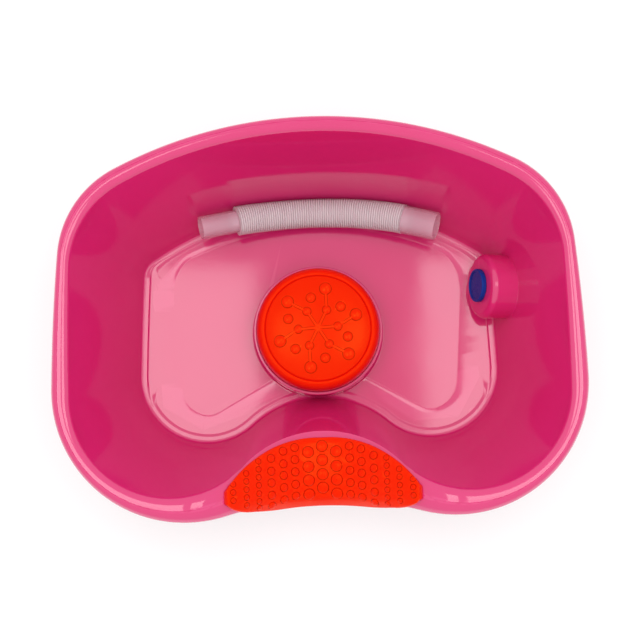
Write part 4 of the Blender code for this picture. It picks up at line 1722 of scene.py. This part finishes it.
@dataclass
class DrainPlug:
    """The push-in drain plug: a dished flange with a lip, and a tapered stem."""

    form: MouldingForm
    look: Material
    face: float = 0.0283
    flange_radius: float = 0.0157
    flange_thickness: float = 0.0044
    flange_round: float = 0.0011
    lip: float = 0.0025
    lip_round: float = 0.0004
    dish_depth: float = 0.0010
    stem_radius: float = 0.0097
    stem_taper: float = 0.0008
    stem_length: float = 0.012
    turn_steps: int = 96

    def build(self) -> Object:
        """Turns the plug and sets it in the drain."""
        top, tip = self.face + self.flange_thickness, self.face - self.stem_length
        edge, inner, stem = self.flange_radius, self.flange_radius - self.lip, self.stem_radius
        corners = [
            (0, top - self.dish_depth, 0),
            (inner, top - self.dish_depth, self.lip_round),
            (inner, top, self.lip_round),
            (edge, top, self.flange_round),
            (edge, self.face, self.lip_round),
            (stem, self.face, 0),
            (stem - self.stem_taper, tip, self.stem_taper),
            (0, tip, 0),
        ]
        piece = Piece("drain_stopper", Body.PLUG, Slot.BLUE_PLASTIC, "drain_plug")
        return piece.make(turned(corners, self.turn_steps, self.form.drain_frame()), self.look)


# Drain hose


@dataclass(frozen=True)
class Cuff:
    """One of the hose's clear cuffs: its name, what it stands for and its sizes."""

    name: str
    stands_for: str
    radius: float
    bore: float
    length: float


@dataclass
class DrainHose:
    """The corrugated drain hose that lies against the back wall, with its two clear cuffs.

    Its route leads from the narrow cuff's end to the wide cuff's end: each point's distance
    from the middle, off the wall and over the floor's ledge.
    """

    form: MouldingForm
    ribbed_look: Material
    cuff_look: Material
    radius: float = 0.0142
    crest: float = 0.0141
    root: float = 0.0123
    crest_sharpness: float = 0.6
    wall: float = 0.0008
    pitch: float = 0.0022
    rings_a_rib: int = 6
    sharp_angle: float = math.radians(60)
    sides: int = 44
    gap: float = 0.0003
    neck_length: float = 0.007
    neck_clearance: float = 0.0002
    narrow: Cuff = Cuff("narrow_cuff", "hose_small_cuff", 0.0110, 0.0093, 0.036)
    wide: Cuff = Cuff("wide_cuff", "hose_large_cuff", 0.0135, 0.0123, 0.033)
    cuff_round: float = 0.0005
    bore_round: float = 0.0003
    cuff_steps: int = 64
    cuff_round_steps: int = 3
    curve_steps: int = 40
    route: tuple[Corner, ...] = (
        (-0.1080, 0.0000, 0.0238),
        (-0.0720, 0.0000, 0.0140),
        (-0.0450, 0.0000, 0.0085),
        (-0.0150, 0.0000, 0.0055),
        (0.0150, 0.0000, 0.0055),
        (0.0450, 0.0000, 0.0085),
        (0.0820, 0.0005, 0.0155),
        (0.1140, 0.0040, 0.0250),
    )

    def build(self) -> Object:
        path = self._axis(self.pitch / 2)
        ribbed = Piece("corrugated_hose", Body.HOSE, Slot.MILKY_PLASTIC, "drain_hose", self.sharp_angle)
        hose = ribbed.make(self._ribbed(), self.ribbed_look)
        for cuff, way in ((self.narrow, path), (self.wide, path[::-1])):
            piece = Piece(cuff.name, Body.HOSE, Slot.CLEAR_PLASTIC, cuff.stands_for)
            piece.make(self._cuff(way, cuff), self.cuff_look)
        return hose

    def _beside_wall(self, x: float, gap: float, lift: float) -> Vector:
        """Finds the place on the hose's axis where its side lies a gap off the back wall.

        Args:
            x: Distance from the middle.
            gap: How far off the wall its side lies.
            lift: How far over the floor's ledge it lies.

        Returns:
            The place.
        """
        form = self.form
        z = form.floor_top + self.radius + lift
        rise = (z - form.floor_top) / (form.edge_height - form.floor_top)
        _, inner, floor = form.outlines(1)
        wall = [low.lerp(top, rise) for low, top in zip(floor, inner)]
        beside = inset(wall, (self.radius + gap) / math.cos(form.back_draft))
        for first, second in pairwise(beside):
            if first.x <= abs(x) <= second.x:
                share = (abs(x) - first.x) / (second.x - first.x)
                return Vector((x, between(first.y, second.y, share), z))
        return Vector((x, beside[0].y, z))

    def _axis(self, spacing: float) -> Ring:
        """Gives evenly spaced points along the ribbed length, between the cuffs.

        Args:
            spacing: About how far apart they are.

        Returns:
            The points, from the narrow cuff on.
        """
        route, fine = [self._beside_wall(*place) for place in self.route], self.curve_steps
        curve = [smooth_point(route, step / fine) for step in range((len(route) - 1) * fine + 1)]
        reach = [0.0]
        for first, second in pairwise(curve):
            reach.append(reach[-1] + (second - first).length)
        start = self.narrow.length + self.gap
        end = reach[-1] - self.wide.length - self.gap
        count = 2 * round((end - start) / spacing / 2)
        points, index = [], 0
        for wanted in (between(start, end, step / count) for step in range(count + 1)):
            while reach[index + 1] < wanted:
                index += 1
            share = (wanted - reach[index]) / (reach[index + 1] - reach[index])
            points.append(curve[index].lerp(curve[index + 1], share))
        return points

    def _ribbed(self) -> BMesh:
        """Draws the ribbed length along the axis, with a plain neck for each cuff, and its wall."""
        axis = self._axis(self.pitch / self.rings_a_rib)
        last = len(axis) - 1
        turn_a_step = FULL_TURN * round(last / self.rings_a_rib) / last
        places: list[tuple[Vector, float]] = []
        for index, point in enumerate(axis):
            swell = (0.5 + 0.5 * math.cos(index * turn_a_step)) ** self.crest_sharpness
            places.append((point, between(self.root, self.crest, swell)))
        narrow, wide = (cuff.bore - self.neck_clearance for cuff in (self.narrow, self.wide))
        out_start, out_end = (axis[0] - axis[1]).normalized(), (axis[-1] - axis[-2]).normalized()
        for reach in (self.gap, self.neck_length):
            places.insert(0, (axis[0] + out_start * reach, narrow))
            places.append((axis[-1] + out_end * reach, wide))
        outer = self._rings(places)
        inner = self._rings([(point, radius - self.wall) for point, radius in places])[::-1]
        return drawn_out([*outer, *inner, outer[0]], (False, False))

    def _rings(self, places: Sequence[tuple[Vector, float]]) -> list[Ring]:
        """Gives rings square to a path, each turned as little as can be from the last.

        Args:
            places: Each ring's middle and radius.

        Returns:
            The rings' points.
        """
        rings = []
        side = Vector((0, 1, 0))
        turns = [polar(1, FULL_TURN * step / self.sides) for step in range(self.sides)]
        for index, (centre, radius) in enumerate(places):
            before, after = places[max(index - 1, 0)][0], places[min(index + 1, len(places) - 1)][0]
            along = (after - before).normalized()
            side = (side - along * side.dot(along)).normalized()
            other = along.cross(side)
            rings.append([centre + (side * turn.x + other * turn.y) * radius for turn in turns])
        return rings

    def _cuff(self, path: Ring, cuff: Cuff) -> BMesh:
        """Turns a straight cuff outwards from the hose's end.

        Args:
            path: The hose's axis, from this cuff on.
            cuff: The cuff's sizes.

        Returns:
            The cuff's mesh.
        """
        radius, bore, length = cuff.radius, cuff.bore, cuff.length
        middle, edge = (bore + radius) / 2, self.cuff_round
        corners = [
            (middle, length, 0),
            (radius, length, edge),
            (radius, self.gap, edge),
            (bore, self.gap, self.bore_round),
            (bore, length, edge),
            (middle, length, 0),
        ]
        outward = (path[0] - path[1]).normalized()
        place = standing(path[0], outward)
        return turned(corners, self.cuff_steps, place, self.cuff_round_steps)


def main() -> None:
    """Builds the studio, then each piece in turn."""
    logging.basicConfig(level=logging.INFO, format="%(name)s %(message)s")
    skin, wear_and_shade = MouldedSkin(), EdgeWearAndCreaseShade()
    form = MouldingForm()
    Studio().build()
    DrainHose(form, MILKY_PLASTIC.material(skin, wear_and_shade), CLEAR_PLASTIC.material(skin, wear_and_shade)).build()
    Basin(form, PINK_PLASTIC.material(skin, wear_and_shade)).build()
    rubber = RUBBER.material(skin, wear_and_shade)
    HeadRest(form, rubber).build()
    NeckRest(form, rubber).build()
    DrainPlug(form, BLUE_PLASTIC.material(skin, wear_and_shade)).build()


if __name__ == "__main__":
    main()
